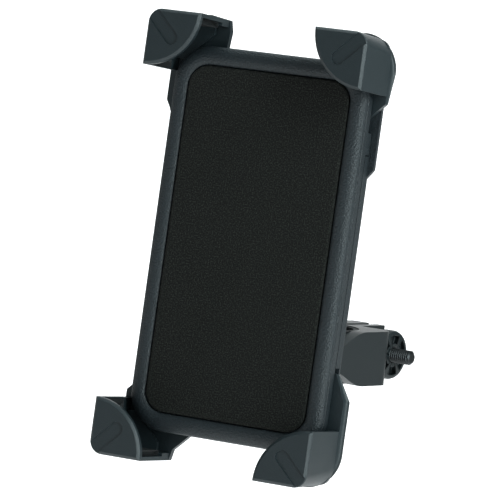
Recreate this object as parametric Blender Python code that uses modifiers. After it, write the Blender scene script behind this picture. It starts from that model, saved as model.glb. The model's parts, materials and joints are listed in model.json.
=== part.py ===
"""Phone handlebar mount: a padded plate with four sprung corner claws on a ball joint
that a hinged, bolted clamp holds on a handlebar.

Frame: X to the right, Y away from the phone, Z up; the origin is the middle of the
pad's front face. Sizes are millimetres times MM, so everything below is in metres.
"""
from math import atan2, cos, hypot, pi, radians, sin, sqrt, tan

import bmesh
import bpy
from mathutils import Matrix, Vector

MM = 0.001

# ---- driving sizes -------------------------------------------------------------------
GAP = 0.3 * MM            # between pieces that touch
PIN_FIT = 0.12 * MM       # radial clearance of pins and screws in their own holes
SLIDE_FIT = 0.4 * MM      # clearance of sliding pieces
STEP = 0.05 * MM          # keeps joined shapes from sharing a face

PAD_WIDTH = 54.6 * MM
PAD_HEIGHT = 110.0 * MM
PAD_CORNER = 6.5 * MM
PAD_THICK = 2.0 * MM
PAD_SEAM = 0.4 * MM       # open line round the pad

BORDER = 5.7 * MM         # plate outside the pad
PLATE_DEPTH = 11.5 * MM   # pad face to the back of the plate
COVER_WALL = 2.0 * MM
COVER_FLOOR = 1.6 * MM
COVER_SEAM_Y = 6.6 * MM   # where the front cover ends
COVER_FRONT_Y = 0.4 * MM
BORDER_ROUND = 1.5 * MM

CLAW_OUT_X = 4.0 * MM     # how far a claw's corner stands out past the plate
CLAW_OUT_Z = 8.95 * MM
CLAW_LEG = 17.8 * MM
CLAW_LIP_Y = -15.6 * MM
CLAW_LIP_THICK = 2.2 * MM
CLAW_SKIN = 1.3 * MM
CLAW_LINER = 2.0 * MM
CLAW_CORNER = 4.3 * MM
CLAW_BACK_CORNER = 10.5 * MM
CLAW_CAP_END_Y = 1.1 * MM
CLAW_ROUND = 1.2 * MM
CLAW_BACK_CHAMFER = 1.3 * MM
CLAW_TRAVEL = 16.0 * MM
FLUTE_WIDTH = 4.4 * MM
FLUTE_DEPTH = 0.7 * MM
FLUTE_LENGTH = 14.5 * MM
ARM_THICK = 2.2 * MM
ARM_LENGTH = 44.0 * MM    # claw corner to the arm's inner end, along the diagonal
ARM_UPRIGHT_SIDE = 14.3 * MM   # arm edge that runs out under the upright wall
ARM_LEVEL_SIDE = 10.7 * MM     # arm edge that runs out under the level wall
ARM_END_HALF = 5.0 * MM
WING_REACH = 26.8 * MM    # straight side of the long base, from the claw's corner
SPRING_RADIUS = 2.2 * MM
SPRING_WIRE = 0.5 * MM
SPRING_COILS = 5
POST_RADIUS = 1.5 * MM
POST_AT = 18.3 * MM       # spring post, from the claw's corner along the diagonal
TOOTH_PITCH = 2.0 * MM
TOOTH_COUNT = 5

LOCK_TRAVEL = 1.4 * MM
LOCK_STEM = 4.0 * MM
BUTTON_WIDTH = 16.0 * MM
BUTTON_HEIGHT = 9.0 * MM
BUTTON_THICK = 2.0 * MM

SCREW_RADIUS = 1.1 * MM
SCREW_HEAD = 2.2 * MM
SCREW_HEAD_THICK = 1.3 * MM
BOSS_RADIUS = 2.7 * MM

BALL_HEIGHT = -33.0 * MM  # ball joint on the plate's centre line
BALL_RADIUS = 7.0 * MM
BALL_BEHIND = 8.5 * MM    # ball centre behind the plate's back
SEAT_THICK = 1.3 * MM
SOCKET_WALL = 2.3 * MM
SOCKET_FLANGE = 16.0 * MM
COLLAR_WALL = 2.4 * MM
STEM_RADIUS = 3.5 * MM
CLAMP_TURN = radians(14.0)    # far side of the clamp towards +X
CLAMP_RISE = radians(4.0)     # far side of the clamp upwards

BORE_RADIUS = 14.5 * MM
CLAMP_WALL = 4.5 * MM
CLAMP_WIDTH = 17.6 * MM
CLAMP_REACH = 30.0 * MM   # ball centre to bore centre
CLAMP_CORNER = 6.0 * MM
BAR_LINER = 1.5 * MM
EAR_GAP = 3.0 * MM
RIGHT_EAR = 3.5 * MM
LEFT_EAR = 7.0 * MM
BOLT_RADIUS = 2.4 * MM
BOLT_HEAD = 4.0 * MM      # half the hexagon's flats
BOLT_HEAD_THICK = 3.5 * MM
BOLT_TIP = 7.4 * MM       # thread beyond the knob
KNOB_RADIUS = 8.1 * MM
KNOB_THICK = 6.0 * MM
NUT_THICK = 3.6 * MM
WASHER_THICK = 1.0 * MM
WASHER_RADIUS = 5.0 * MM
PIN_RADIUS = 1.5 * MM
KNUCKLE_RADIUS = 4.0 * MM
KNUCKLE_HALF = 4.6 * MM

# ---- places that follow from them -----------------------------------------------------
PLATE_X = PAD_WIDTH / 2 + BORDER
PLATE_Z = PAD_HEIGHT / 2 + BORDER + 0.6 * MM
PLATE_CORNER = PAD_CORNER + BORDER - 0.2 * MM
POCKET_FLOOR_Y = PAD_THICK + GAP
COVER_INSIDE_Y = POCKET_FLOOR_Y + COVER_FLOOR
BACK_PLATE_Y = PLATE_DEPTH - COVER_WALL
ARM_Y = COVER_SEAM_Y + GAP
CORNER_X = PLATE_X + CLAW_OUT_X
CORNER_Z = PLATE_Z + CLAW_OUT_Z
SIDE_SLOT_Z = CORNER_Z - 37.0 * MM     # lower end of the opening an arm leaves by
TONGUE_TOP_Z = CORNER_Z - 29.75 * MM
TOP_SLOT_X = (CORNER_X - CLAW_OUT_Z - COVER_WALL - ARM_LEVEL_SIDE * sqrt(2)
              - SLIDE_FIT)
BALL_Y = PLATE_DEPTH + BALL_BEHIND
SEAT_RADIUS = BALL_RADIUS + GAP / 2
SOCKET_RADIUS = SEAT_RADIUS + SEAT_THICK + GAP / 2
CUP_RADIUS = SOCKET_RADIUS + SOCKET_WALL
COLLAR_RADIUS = CUP_RADIUS + GAP + COLLAR_WALL
CLAMP_HALF = BORE_RADIUS + CLAMP_WALL
HINGE = (CLAMP_HALF - KNUCKLE_RADIUS, CLAMP_REACH - BORE_RADIUS)
BOLT_Y = CLAMP_REACH + CLAMP_HALF + KNOB_RADIUS + 0.9 * MM
EAR_END_Y = BOLT_Y + 5.0 * MM
RIGHT_EAR_X = EAR_GAP / 2 + RIGHT_EAR
WASHER_X = RIGHT_EAR_X + 0.4 * MM
KNOB_X = WASHER_X + WASHER_THICK + GAP
BOLT_END_X = KNOB_X + KNOB_THICK + BOLT_TIP
COVER_SCREWS = [(side * (PLATE_X - 4.8 * MM), row * 24.0 * MM)
                for side in (-1, 1) for row in (-1, 0, 1)]

# ---- small sizes -----------------------------------------------------------------------
BACK_EDGE_BEVEL = 0.8 * MM       # round the plate's back
CORNER_BLEND = 1.0 * MM          # small fillet in the clamp's and the arms' outlines
CUT_PAST = 1.0 * MM              # how far a cutter runs past the wall it opens
COVER_SCREW_LENGTH = 6.6 * MM
CLAW_SCREW_LENGTH = 6.8 * MM
SOCKET_SCREW_LENGTH = 4.8 * MM
FLANGE_THICK = 2.0 * MM          # of the ball socket
SOCKET_FLOOR_THICK = 1.2 * MM
CUP_END = 1.0 * MM               # socket's mouth past the ball's centre
COLLAR_LIP_END = 5.0 * MM        # collar's mouth past the ball's centre
COLLAR_STEP = 0.4 * MM
SEAT_SPAN = (-6.0 * MM, -3.2 * MM)
RING_SPAN = (2.2 * MM, 3.8 * MM)
LEG_FLARE = 0.8 * MM             # base's end past the wall's end
LEG_FLARE_DOWN = 3.5 * MM
WING_FOOT = 35.3 * MM            # lower end of a long base's slope
ARM_SHOULDER = 8.0 * MM          # where an arm narrows, from its inner end
ARM_STOP_WALL = 2.8 * MM         # from the spring's slot to the arm's inner end
SLOT_FILLET = 0.6 * MM
RACK_FIRST = CLAW_OUT_Z + COVER_WALL + 2.0 * MM
FLOOR_THICK = 1.5 * MM           # floor that closes a cap's corner
FLOOR_LONG = 14.0 * MM
FLOOR_SHORT = 13.8 * MM
FLOOR_NARROW = 5.2 * MM
SHOULDER_REACH = 2.0 * MM        # back cover's shoulder past the plate's side
SHOULDER_BELOW = 7.0 * MM
EAR_SLOT_LONG = 1.3 * MM
EAR_SLOT_WIDE = 0.4 * MM
LUG_BACK = 6.6 * MM
LUG_UP = 1.6 * MM
LUG_ROOT = 8.0 * MM
STEM_FOOT_SPREAD = 2.6 * MM
KNOB_FRONT_BEVEL = 1.6 * MM
KNOB_BACK_BEVEL = 0.7 * MM
KNOB_HUB_WALL = 1.4 * MM
KNOB_RIM_WALL = 1.5 * MM
KNOB_POCKET_DEEP = 1.7 * MM
GRIP_RIDGE = 0.4 * MM
GRIP_PITCH = 2.0 * MM
BUTTON_CORNER = 1.5 * MM
PIN_PROUD = 0.2 * MM             # hinge pin past the clamp's sides
LINER_INSET = 0.25 * MM          # bar liner short of the clamp's sides

# ---- materials: name -> (colour, roughness, metallic) ----------------------------------
MATERIALS = {
    "pad": ((0.012, 0.013, 0.012), 0.95, 0.0),
    "cover": ((0.020, 0.026, 0.031), 0.55, 0.0),
    "claw": ((0.026, 0.034, 0.040), 0.5, 0.0),
    "rubber": ((0.012, 0.013, 0.014), 0.85, 0.0),
    "clamp": ((0.018, 0.025, 0.028), 0.5, 0.0),
    "nylon": ((0.60, 0.60, 0.57), 0.4, 0.0),
    "black_steel": ((0.020, 0.021, 0.022), 0.35, 0.9),
    "zinc": ((0.55, 0.56, 0.57), 0.3, 1.0),
    "spring": ((0.50, 0.50, 0.52), 0.25, 1.0),
}


# ---- helpers ---------------------------------------------------------------------------
def new_collection(name):
    group = bpy.data.collections.new(name)
    bpy.context.scene.collection.children.link(group)
    return group


def material(name):
    found = bpy.data.materials.get(name)
    if found:
        return found
    colour, roughness, metallic = MATERIALS[name]
    made = bpy.data.materials.new(name)
    made.use_nodes = True
    made.diffuse_color = (*colour, 1.0)
    shader = made.node_tree.nodes["Principled BSDF"]
    shader.inputs["Base Color"].default_value = (*colour, 1.0)
    shader.inputs["Roughness"].default_value = roughness
    shader.inputs["Metallic"].default_value = metallic
    return made


def put(mesh, name, slot=None, parent=None):
    """A finished part when slot names its material, otherwise a cutter or a lump to join."""
    thing = bpy.data.objects.new(name, mesh)
    thing.parent = parent
    if slot:
        PARTS.objects.link(thing)
        mesh.materials.append(material(slot))
        mesh.shade_smooth()
        mesh.set_sharp_from_angle(angle=radians(35))
    else:
        TOOLS.objects.link(thing)
        thing.hide_render = True
        thing.display_type = "WIRE"
    return thing


def empty(name, location, rotation=(0, 0, 0), parent=None):
    made = bpy.data.objects.new(name, None)
    made.empty_display_size = 5 * MM
    made.location = location
    made.rotation_euler = rotation
    made.parent = parent
    PARTS.objects.link(made)
    return made


def mesh_from(bm, name):
    bmesh.ops.recalc_face_normals(bm, faces=bm.faces)
    mesh = bpy.data.meshes.new(name)
    bm.to_mesh(mesh)
    bm.free()
    return mesh


def rounded(corners, segments=4):
    """Closed outline through (x, y, fillet radius) corners."""
    points = []
    count = len(corners)
    for index, (x, y, radius) in enumerate(corners):
        here = Vector((x, y))
        before = (Vector(corners[index - 1][:2]) - here).normalized()
        after = (Vector(corners[(index + 1) % count][:2]) - here).normalized()
        if radius <= 0:
            points.append(here)
            continue
        half = before.angle(after) / 2
        centre = here + (before + after).normalized() * radius / sin(half)
        start = here + before * radius / tan(half) - centre
        turn = start.angle_signed(here + after * radius / tan(half) - centre)
        for step in range(segments + 1):
            angle = -turn * step / segments
            spin = Matrix.Rotation(angle, 2)
            points.append(centre + spin @ start)
    return [(point.x, point.y) for point in points]


def rounded_box(half_x, half_y, radius, segments=4):
    return rounded([(half_x, -half_y, radius), (half_x, half_y, radius),
                    (-half_x, half_y, radius), (-half_x, -half_y, radius)], segments)


def arc(centre, radius, start, end, steps):
    """Points on a circle from one angle to another, in degrees."""
    return [(centre[0] + radius * cos(radians(start + (end - start) * i / steps)),
             centre[1] + radius * sin(radians(start + (end - start) * i / steps)))
            for i in range(steps + 1)]


def outline_mesh(name, loops, low, high, upright=False):
    """Mesh of a filled flat outline, extruded from low to high.

    The outline lies in XY and is extruded along Z. With upright it lies in XZ and is
    extruded along Y.
    """
    curve = bpy.data.curves.new(name, "CURVE")
    curve.dimensions = "2D"
    curve.fill_mode = "BOTH"
    curve.extrude = (high - low) / 2
    for loop in loops:
        spline = curve.splines.new("POLY")
        spline.points.add(len(loop) - 1)
        for point, (x, y) in zip(spline.points, loop):
            point.co = (x, y, 0, 1)
        spline.use_cyclic_u = True
    guide = bpy.data.objects.new(name, curve)
    TOOLS.objects.link(guide)
    bpy.context.view_layer.update()
    mesh = bpy.data.meshes.new_from_object(guide.evaluated_get(bpy.context.evaluated_depsgraph_get()))
    bpy.data.objects.remove(guide)
    bm = bmesh.new()
    bm.from_mesh(mesh)
    bmesh.ops.remove_doubles(bm, verts=bm.verts, dist=1e-7)
    bmesh.ops.translate(bm, verts=bm.verts, vec=(0, 0, (low + high) / 2))
    if upright:
        swap = Matrix(((1, 0, 0), (0, 0, 1), (0, 1, 0)))
        bmesh.ops.transform(bm, verts=bm.verts, matrix=swap.to_4x4())
    return mesh_from(bm, name)


def box_mesh(name, low, high):
    bm = bmesh.new()
    bmesh.ops.create_cube(bm, size=1)
    size = Vector(high) - Vector(low)
    bmesh.ops.scale(bm, verts=bm.verts, vec=size)
    bmesh.ops.translate(bm, verts=bm.verts, vec=(Vector(high) + Vector(low)) / 2)
    return mesh_from(bm, name)


def rod_mesh(name, radius, start, end, sides=24, end_radius=None):
    """Round bar, or cone, between two points."""
    start = Vector(start)
    end = Vector(end)
    bm = bmesh.new()
    bmesh.ops.create_cone(bm, cap_ends=True, segments=sides, radius1=radius,
                          radius2=radius if end_radius is None else end_radius,
                          depth=(end - start).length)
    turn = (end - start).to_track_quat("Z", "Y").to_matrix().to_4x4()
    bmesh.ops.transform(bm, verts=bm.verts, matrix=Matrix.Translation((start + end) / 2) @ turn)
    return mesh_from(bm, name)


def ball_mesh(name, radius, centre, sides=24):
    bm = bmesh.new()
    bmesh.ops.create_uvsphere(bm, u_segments=sides, v_segments=sides // 2, radius=radius)
    bmesh.ops.translate(bm, verts=bm.verts, vec=centre)
    return mesh_from(bm, name)


def turned_mesh(name, profile, steps=40):
    """Mesh turned about Y from (radius, y) points that run round the section.

    The section is closed, or starts and ends on the axis.
    """
    bm = bmesh.new()
    row = [bm.verts.new((radius, 0, y)) for radius, y in profile]
    for first, second in zip(row, row[1:]):
        bm.edges.new((first, second))
    if profile[0][0] > 0:
        bm.edges.new((row[-1], row[0]))
    section = bpy.data.meshes.new(name)
    bm.to_mesh(section)
    bm.free()
    guide = bpy.data.objects.new(name, section)
    TOOLS.objects.link(guide)
    screw = guide.modifiers.new("turn", "SCREW")
    screw.steps = steps
    screw.render_steps = steps
    screw.use_merge_vertices = True
    screw.merge_threshold = 1e-6
    bpy.context.view_layer.update()
    mesh = bpy.data.meshes.new_from_object(guide.evaluated_get(bpy.context.evaluated_depsgraph_get()))
    bpy.data.objects.remove(guide)
    bm = bmesh.new()
    bm.from_mesh(mesh)
    bmesh.ops.remove_doubles(bm, verts=bm.verts, dist=1e-7)
    bmesh.ops.transform(bm, verts=bm.verts, matrix=Matrix.Rotation(-pi / 2, 4, "X"))
    return mesh_from(bm, name)


def combine(thing, tool, operation):
    change = thing.modifiers.new(f"{operation.lower()}_{tool.name}", "BOOLEAN")
    change.operation = operation
    change.object = tool
    change.solver = "EXACT"


def cut(thing, *meshes):
    for mesh in meshes:
        combine(thing, put(mesh, f"cut_{thing.name}", parent=thing.parent), "DIFFERENCE")


def join(thing, *meshes):
    for mesh in meshes:
        combine(thing, put(mesh, f"add_{thing.name}", parent=thing.parent), "UNION")


def round_edges(thing, width, segments, chosen):
    """Bevel the edges whose two ends both satisfy chosen(point)."""
    mesh = thing.data
    weights = mesh.attributes.new("bevel_weight_edge", "FLOAT", "EDGE")
    for edge in mesh.edges:
        if all(chosen(mesh.vertices[index].co) for index in edge.vertices):
            weights.data[edge.index].value = 1.0
    bevel = thing.modifiers.new("round", "BEVEL")
    bevel.limit_method = "WEIGHT"
    bevel.width = width
    bevel.segments = segments
    bevel.harden_normals = False


# ---- plate -----------------------------------------------------------------------------
def make_pad(plate):
    outline = rounded_box(PAD_WIDTH / 2, PAD_HEIGHT / 2, PAD_CORNER, 6)
    put(outline_mesh("foam_pad", [outline], 0, PAD_THICK, True), "foam_pad", "pad", plate)


def make_front_cover(plate):
    outside = rounded_box(PLATE_X, PLATE_Z, PLATE_CORNER, 6)
    inside = rounded_box(PLATE_X - COVER_WALL, PLATE_Z - COVER_WALL, PLATE_CORNER - COVER_WALL, 6)
    pocket = rounded_box(PAD_WIDTH / 2 + PAD_SEAM, PAD_HEIGHT / 2 + PAD_SEAM, PAD_CORNER + PAD_SEAM, 6)
    cover = put(outline_mesh("front_cover", [outside], COVER_FRONT_Y, COVER_SEAM_Y, True),
                "front_cover", "cover", plate)
    round_edges(cover, BORDER_ROUND, 2, lambda point: point.y < COVER_FRONT_Y + 1e-6)
    cut(cover, outline_mesh("pocket", [pocket], -PAD_THICK, POCKET_FLOOR_Y, True),
        outline_mesh("hollow", [inside], COVER_INSIDE_Y, PLATE_DEPTH, True))
    for x, z in COVER_SCREWS:
        join(cover, rod_mesh("boss", BOSS_RADIUS, (x, COVER_INSIDE_Y - GAP, z),
                             (x, BACK_PLATE_Y - GAP, z), 16))
        cut(cover, rod_mesh("pilot", SCREW_RADIUS + PIN_FIT, (x, COVER_INSIDE_Y + GAP, z),
                            (x, PLATE_DEPTH, z), 12))
    for side in (-1, 1):
        for end in (-1, 1):
            join(cover, guide_rail(side, end))
        low, high = sorted((side * (PLATE_X - COVER_WALL + STEP), side * (PLATE_X - STEP)))
        bottom, top = sorted((side * (SIDE_SLOT_Z + SLIDE_FIT), side * TONGUE_TOP_Z))
        join(cover, box_mesh("tongue", (low, COVER_SEAM_Y - GAP, bottom), (high, BACK_PLATE_Y - GAP, top)))


def guide_rail(side, end):
    """Rail on the cover's floor that an arm slides on."""
    start = POST_AT + 4 * MM
    across = (ARM_END_HALF + SPRING_RADIUS) / 2 + 1.2 * MM
    points = [on_claw(side, end, *diagonal(along, offset))
              for along, offset in ((start, across - 1 * MM), (start, across + 1 * MM),
                                    (ARM_LENGTH, across + 1 * MM), (ARM_LENGTH, across - 1 * MM))]
    return outline_mesh("rail", [points], COVER_INSIDE_Y - GAP, COVER_SEAM_Y, True)


def make_back_cover(plate):
    outside = rounded_box(PLATE_X, PLATE_Z, PLATE_CORNER, 6)
    inside = rounded_box(PLATE_X - COVER_WALL, PLATE_Z - COVER_WALL, PLATE_CORNER - COVER_WALL, 6)
    cover = put(outline_mesh("back_cover", [outside], COVER_SEAM_Y + GAP, PLATE_DEPTH, True),
                "back_cover", "cover", plate)
    round_edges(cover, BACK_EDGE_BEVEL, 2, lambda point: point.y > PLATE_DEPTH - 1e-6)
    cut(cover, outline_mesh("hollow", [inside], 0, BACK_PLATE_Y, True))
    for side in (-1, 1):
        for end in (-1, 1):
            x_in, x_out = sorted((side * (PLATE_X - PLATE_CORNER), side * CORNER_X))
            z_in, z_out = sorted((end * SIDE_SLOT_Z, end * CORNER_Z))
            cut(cover, box_mesh("side_slot", (x_in, 0, z_in), (x_out, BACK_PLATE_Y + STEP, z_out)))
            x_in, x_out = sorted((side * TOP_SLOT_X, side * CORNER_X))
            z_in, z_out = sorted((end * (PLATE_Z - 2 * COVER_WALL), end * CORNER_Z))
            cut(cover, box_mesh("end_slot", (x_in, 0, z_in), (x_out, BACK_PLATE_Y + STEP, z_out)))
            x, z = on_claw(side, end, *diagonal(POST_AT, 0), centred=True)
            join(cover, rod_mesh("post", POST_RADIUS, (x, ARM_Y - GAP, z), (x, BACK_PLATE_Y + GAP, z), 12))
        join(cover, shoulder(side))
    for x, z in COVER_SCREWS:
        cut(cover, rod_mesh("screw_hole", SCREW_RADIUS + GAP, (x, 0, z), (x, PLATE_DEPTH + GAP, z), 12),
            rod_mesh("head_hole", SCREW_HEAD + GAP, (x, PLATE_DEPTH - SCREW_HEAD_THICK, z),
                     (x, PLATE_DEPTH + GAP, z), 16))
    slot = rounded_box(LOCK_STEM / 2 + SLIDE_FIT, (LOCK_STEM + LOCK_TRAVEL) / 2 + SLIDE_FIT, 0)
    slot = [(x, z + lock_height() - LOCK_TRAVEL / 2) for x, z in slot]
    cut(cover, outline_mesh("lock_slot", [slot], 0, PLATE_DEPTH + GAP, True))


def shoulder(side):
    """Raised edge of the back plate beside a claw with a short base."""
    reach = SHOULDER_REACH
    low = SIDE_SLOT_Z - SHOULDER_BELOW
    corners = [(PLATE_X - COVER_WALL, low, 0), (PLATE_X - GAP, low, 0),
               (PLATE_X + reach, low + 1.5 * reach, 1.5 * MM), (PLATE_X + reach, CORNER_Z - 20 * MM, 2 * MM),
               (PLATE_X - 2 * MM, PLATE_Z - 5 * MM, 0), (PLATE_X - COVER_WALL - 2 * MM, PLATE_Z - 12 * MM, 0)]
    points = [(side * x, side * z) for x, z in rounded(corners, 3)]
    return outline_mesh("shoulder", [points], BACK_PLATE_Y + STEP, PLATE_DEPTH - GAP, True)


def make_screw(name, parent, x, z, head_y, length, slot="black_steel"):
    """Screw driven in from behind: its head's outer face is at head_y."""
    profile = [(0, head_y), (SCREW_HEAD - 0.3 * MM, head_y), (SCREW_HEAD, head_y - 0.4 * MM),
               (SCREW_HEAD, head_y - SCREW_HEAD_THICK + GAP), (SCREW_RADIUS, head_y - SCREW_HEAD_THICK + GAP),
               (SCREW_RADIUS, head_y - length + 0.8 * MM), (SCREW_RADIUS / 2, head_y - length),
               (0, head_y - length)]
    mesh = turned_mesh(name, profile, 10)
    mesh.transform(Matrix.Translation((x, 0, z)))
    return put(mesh, name, slot, parent)


def make_cover_screws(plate):
    for number, (x, z) in enumerate(COVER_SCREWS, 1):
        make_screw(f"cover_screw_{number}", plate, x, z, PLATE_DEPTH - GAP / 3, COVER_SCREW_LENGTH)


# ---- claws -----------------------------------------------------------------------------
def diagonal(along, across):
    """Distances in from a claw's corner for a place along and across its diagonal."""
    return (along - across) / sqrt(2), (along + across) / sqrt(2)


def on_claw(side, end, inward, down, centred=True):
    """Plate coordinates of a place measured in from a claw's outer corner."""
    x = -side * inward
    z = -end * down
    if centred:
        return x + side * CORNER_X, z + end * CORNER_Z
    return x, z


def claw_points(side, end, points):
    return [on_claw(side, end, inward, down, centred=False) for inward, down in points]


def leg_outline(outer, outer_fillet, inner, inner_fillet, length):
    """L-shaped wall between two offsets from the claw's outer faces."""
    return rounded([(outer, outer, outer_fillet), (length, outer, 0), (length, inner, 0),
                    (inner, inner, inner_fillet), (inner, length, 0), (outer, length, 0)])


def make_claw(label, side, end, plate):
    frame = empty(f"claw_{label}_slide", (side * CORNER_X, 0, end * CORNER_Z), parent=plate)
    make_claw_cap(label, side, end, frame)
    make_claw_liner(label, side, end, frame)
    make_claw_arm(label, side, end, frame)
    screw_x, screw_z = on_claw(side, end, *claw_screw_place(), centred=False)
    make_screw(f"claw_{label}_screw", frame, screw_x, screw_z,
               ARM_Y + ARM_THICK + SCREW_HEAD_THICK, CLAW_SCREW_LENGTH)
    make_claw_spring(label, side, end, plate)


def claw_screw_place():
    inward = CLAW_SKIN + CLAW_LINER + 2.4 * MM
    return inward, inward


def make_claw_cap(label, side, end, frame):
    name = f"claw_{label}_cap"
    lip = rounded([(0, 0, CLAW_CORNER)] + [(x, y, 0) for x, y in arc((0, 0), CLAW_LEG, 0, 90, 10)])
    lip_back = CLAW_LIP_Y + CLAW_LIP_THICK
    cap = put(outline_mesh(name, [claw_points(side, end, lip)], CLAW_LIP_Y, CLAW_CAP_END_Y, True),
              name, "claw", frame)
    round_edges(cap, CLAW_ROUND, 2, lambda point: point.y < CLAW_LIP_Y + 1e-6
                and hypot(point.x, point.z) < CLAW_LEG + 1e-5)
    bay = rounded([(CLAW_SKIN, CLAW_SKIN, CLAW_CORNER - CLAW_SKIN), (2 * CLAW_LEG, CLAW_SKIN, 0),
                   (2 * CLAW_LEG, 2 * CLAW_LEG, 0), (CLAW_SKIN, 2 * CLAW_LEG, 0)])
    cut(cap, outline_mesh("bay", [claw_points(side, end, bay)], lip_back, PLATE_DEPTH, True))
    step = CLAW_SKIN / 3
    floor = rounded([(step, step, CLAW_CORNER - step), (FLOOR_LONG, step, 0), (FLOOR_LONG, FLOOR_NARROW, 0),
                     (FLOOR_NARROW, FLOOR_SHORT, 0), (step, FLOOR_SHORT, 0)])
    join(cap, outline_mesh("floor", [claw_points(side, end, floor)], CLAW_CAP_END_Y - FLOOR_THICK,
                           CLAW_CAP_END_Y - STEP, True))
    screw_x, screw_z = on_claw(side, end, *claw_screw_place(), centred=False)
    join(cap, rod_mesh("boss", BOSS_RADIUS, (screw_x, CLAW_CAP_END_Y - 1 * MM, screw_z),
                       (screw_x, ARM_Y - GAP, screw_z), 16))
    cut(cap, rod_mesh("pilot", SCREW_RADIUS + PIN_FIT, (screw_x, 1.4 * MM, screw_z),
                      (screw_x, PLATE_DEPTH, screw_z), 12))
    flute = (FLUTE_WIDTH ** 2 / 4 + FLUTE_DEPTH ** 2) / (2 * FLUTE_DEPTH)
    centre_y = CLAW_LIP_Y + FLUTE_DEPTH - flute
    outer_x, outer_z = on_claw(side, end, -2 * MM, -2 * MM, centred=False)
    inner_x, inner_z = on_claw(side, end, *diagonal(FLUTE_LENGTH - FLUTE_WIDTH / 2, 0), centred=False)
    cut(cap, rod_mesh("flute", flute, (outer_x, centre_y, outer_z), (inner_x, centre_y, inner_z), 24),
        ball_mesh("flute_end", flute * 1.001, (inner_x, centre_y, inner_z), 24))


def make_claw_liner(label, side, end, frame):
    name = f"claw_{label}_liner"
    outer = CLAW_SKIN + GAP
    inner = CLAW_SKIN + CLAW_LINER
    shape = leg_outline(outer, CLAW_CORNER - outer, inner, CLAW_CORNER / 2, CLAW_LEG - GAP)
    put(outline_mesh(name, [claw_points(side, end, shape)], CLAW_LIP_Y + CLAW_LIP_THICK + GAP,
                     CLAW_CAP_END_Y - FLOOR_THICK - GAP, True), name, "rubber", frame)


def arm_outline(long_base):
    """Base plate and arm of a claw; a long base reaches further along the plate's side."""
    level = ARM_LEVEL_SIDE * sqrt(2)
    upright = ARM_UPRIGHT_SIDE * sqrt(2)
    shoulder_along = ARM_LENGTH - ARM_SHOULDER
    inner = [(CLAW_LEG, 0, 0), (CLAW_LEG + LEG_FLARE, LEG_FLARE_DOWN, 0)]
    step = CLAW_OUT_Z + GAP if long_base else CLAW_OUT_Z - CORNER_BLEND
    if long_base:
        inner += [(CLAW_LEG + GAP, step, 0)]
    inner += [(step + level, step, 0)]
    inner += rack(level)
    inner += [(*diagonal(ARM_LENGTH, -ARM_END_HALF), CORNER_BLEND),
              (*diagonal(ARM_LENGTH, ARM_END_HALF), CORNER_BLEND),
              (*diagonal(shoulder_along, ARM_UPRIGHT_SIDE), 0)]
    if long_base:
        inner += [(CLAW_OUT_X - SLIDE_FIT, WING_FOOT, 0), (0, WING_REACH, 0)]
    else:
        inner += [(2 * MM, upright + 2 * MM, 0), (0, upright, 0)]
    return rounded([(0, 0, CLAW_BACK_CORNER)] + inner)


def rack(level):
    """Notches with square flanks in the level edge of an arm, for the lock's teeth."""
    side = TOOTH_PITCH / sqrt(2)
    points = []
    for number in range(TOOTH_COUNT):
        down = RACK_FIRST + number * side
        points += [(level + down, down, 0), (level + down, down + side, 0)]
    return points


def make_claw_arm(label, side, end, frame):
    name = f"claw_{label}_arm"
    outline = claw_points(side, end, arm_outline(side * end < 0))
    back_y = ARM_Y + ARM_THICK
    arm = put(outline_mesh(name, [outline], ARM_Y, back_y, True), name, "claw", frame)
    round_edges(arm, CLAW_BACK_CHAMFER, 1, lambda point: point.y > back_y - 1e-6
                and (abs(point.x) < 1e-6 or abs(point.z) < 1e-6
                     or max(abs(point.x), abs(point.z)) < CLAW_BACK_CORNER))
    wall = leg_outline(STEP, CLAW_CORNER, CLAW_SKIN + CLAW_LINER / 2, CLAW_CORNER / 2, CLAW_LEG - STEP)
    join(arm, outline_mesh("wall", [claw_points(side, end, wall)], CLAW_CAP_END_Y + GAP,
                           ARM_Y + CLAW_BACK_CHAMFER / 2, True))
    slot_half = SPRING_RADIUS + SPRING_WIRE / 2 + SLIDE_FIT
    slot = rounded([(*diagonal(POST_AT - POST_RADIUS - SLIDE_FIT, -slot_half), CORNER_BLEND),
                    (*diagonal(ARM_LENGTH - ARM_STOP_WALL, -slot_half), SLOT_FILLET),
                    (*diagonal(ARM_LENGTH - ARM_STOP_WALL, slot_half), SLOT_FILLET),
                    (*diagonal(POST_AT - POST_RADIUS - SLIDE_FIT, slot_half), CORNER_BLEND)])
    cut(arm, outline_mesh("slot", [claw_points(side, end, slot)], 0, PLATE_DEPTH, True))
    screw_x, screw_z = on_claw(side, end, *claw_screw_place(), centred=False)
    cut(arm, rod_mesh("screw_hole", SCREW_RADIUS + GAP, (screw_x, 0, screw_z),
                      (screw_x, PLATE_DEPTH, screw_z), 12))


def make_claw_spring(label, side, end, plate):
    """Compression spring from the back cover's post to the inner end of the arm's slot."""
    name = f"claw_{label}_spring"
    start = POST_AT + POST_RADIUS + SPRING_WIRE / 2 + GAP
    length = ARM_LENGTH - ARM_STOP_WALL - SPRING_WIRE / 2 - GAP - start
    per_coil = 6
    curve = bpy.data.curves.new(name, "CURVE")
    curve.dimensions = "3D"
    curve.bevel_depth = SPRING_WIRE / 2
    curve.bevel_resolution = 0
    curve.use_fill_caps = True
    steps = SPRING_COILS * per_coil
    spline = curve.splines.new("POLY")
    spline.points.add(steps)
    centre_y = ARM_Y
    for number, point in enumerate(spline.points):
        angle = 2 * pi * number / per_coil
        x, z = on_claw(side, end, *diagonal(start + length * number / steps, SPRING_RADIUS * cos(angle)))
        point.co = (x, centre_y + SPRING_RADIUS * sin(angle), z, 1)
    spring = bpy.data.objects.new(name, curve)
    curve.materials.append(material("spring"))
    spring.parent = plate
    PARTS.objects.link(spring)


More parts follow.
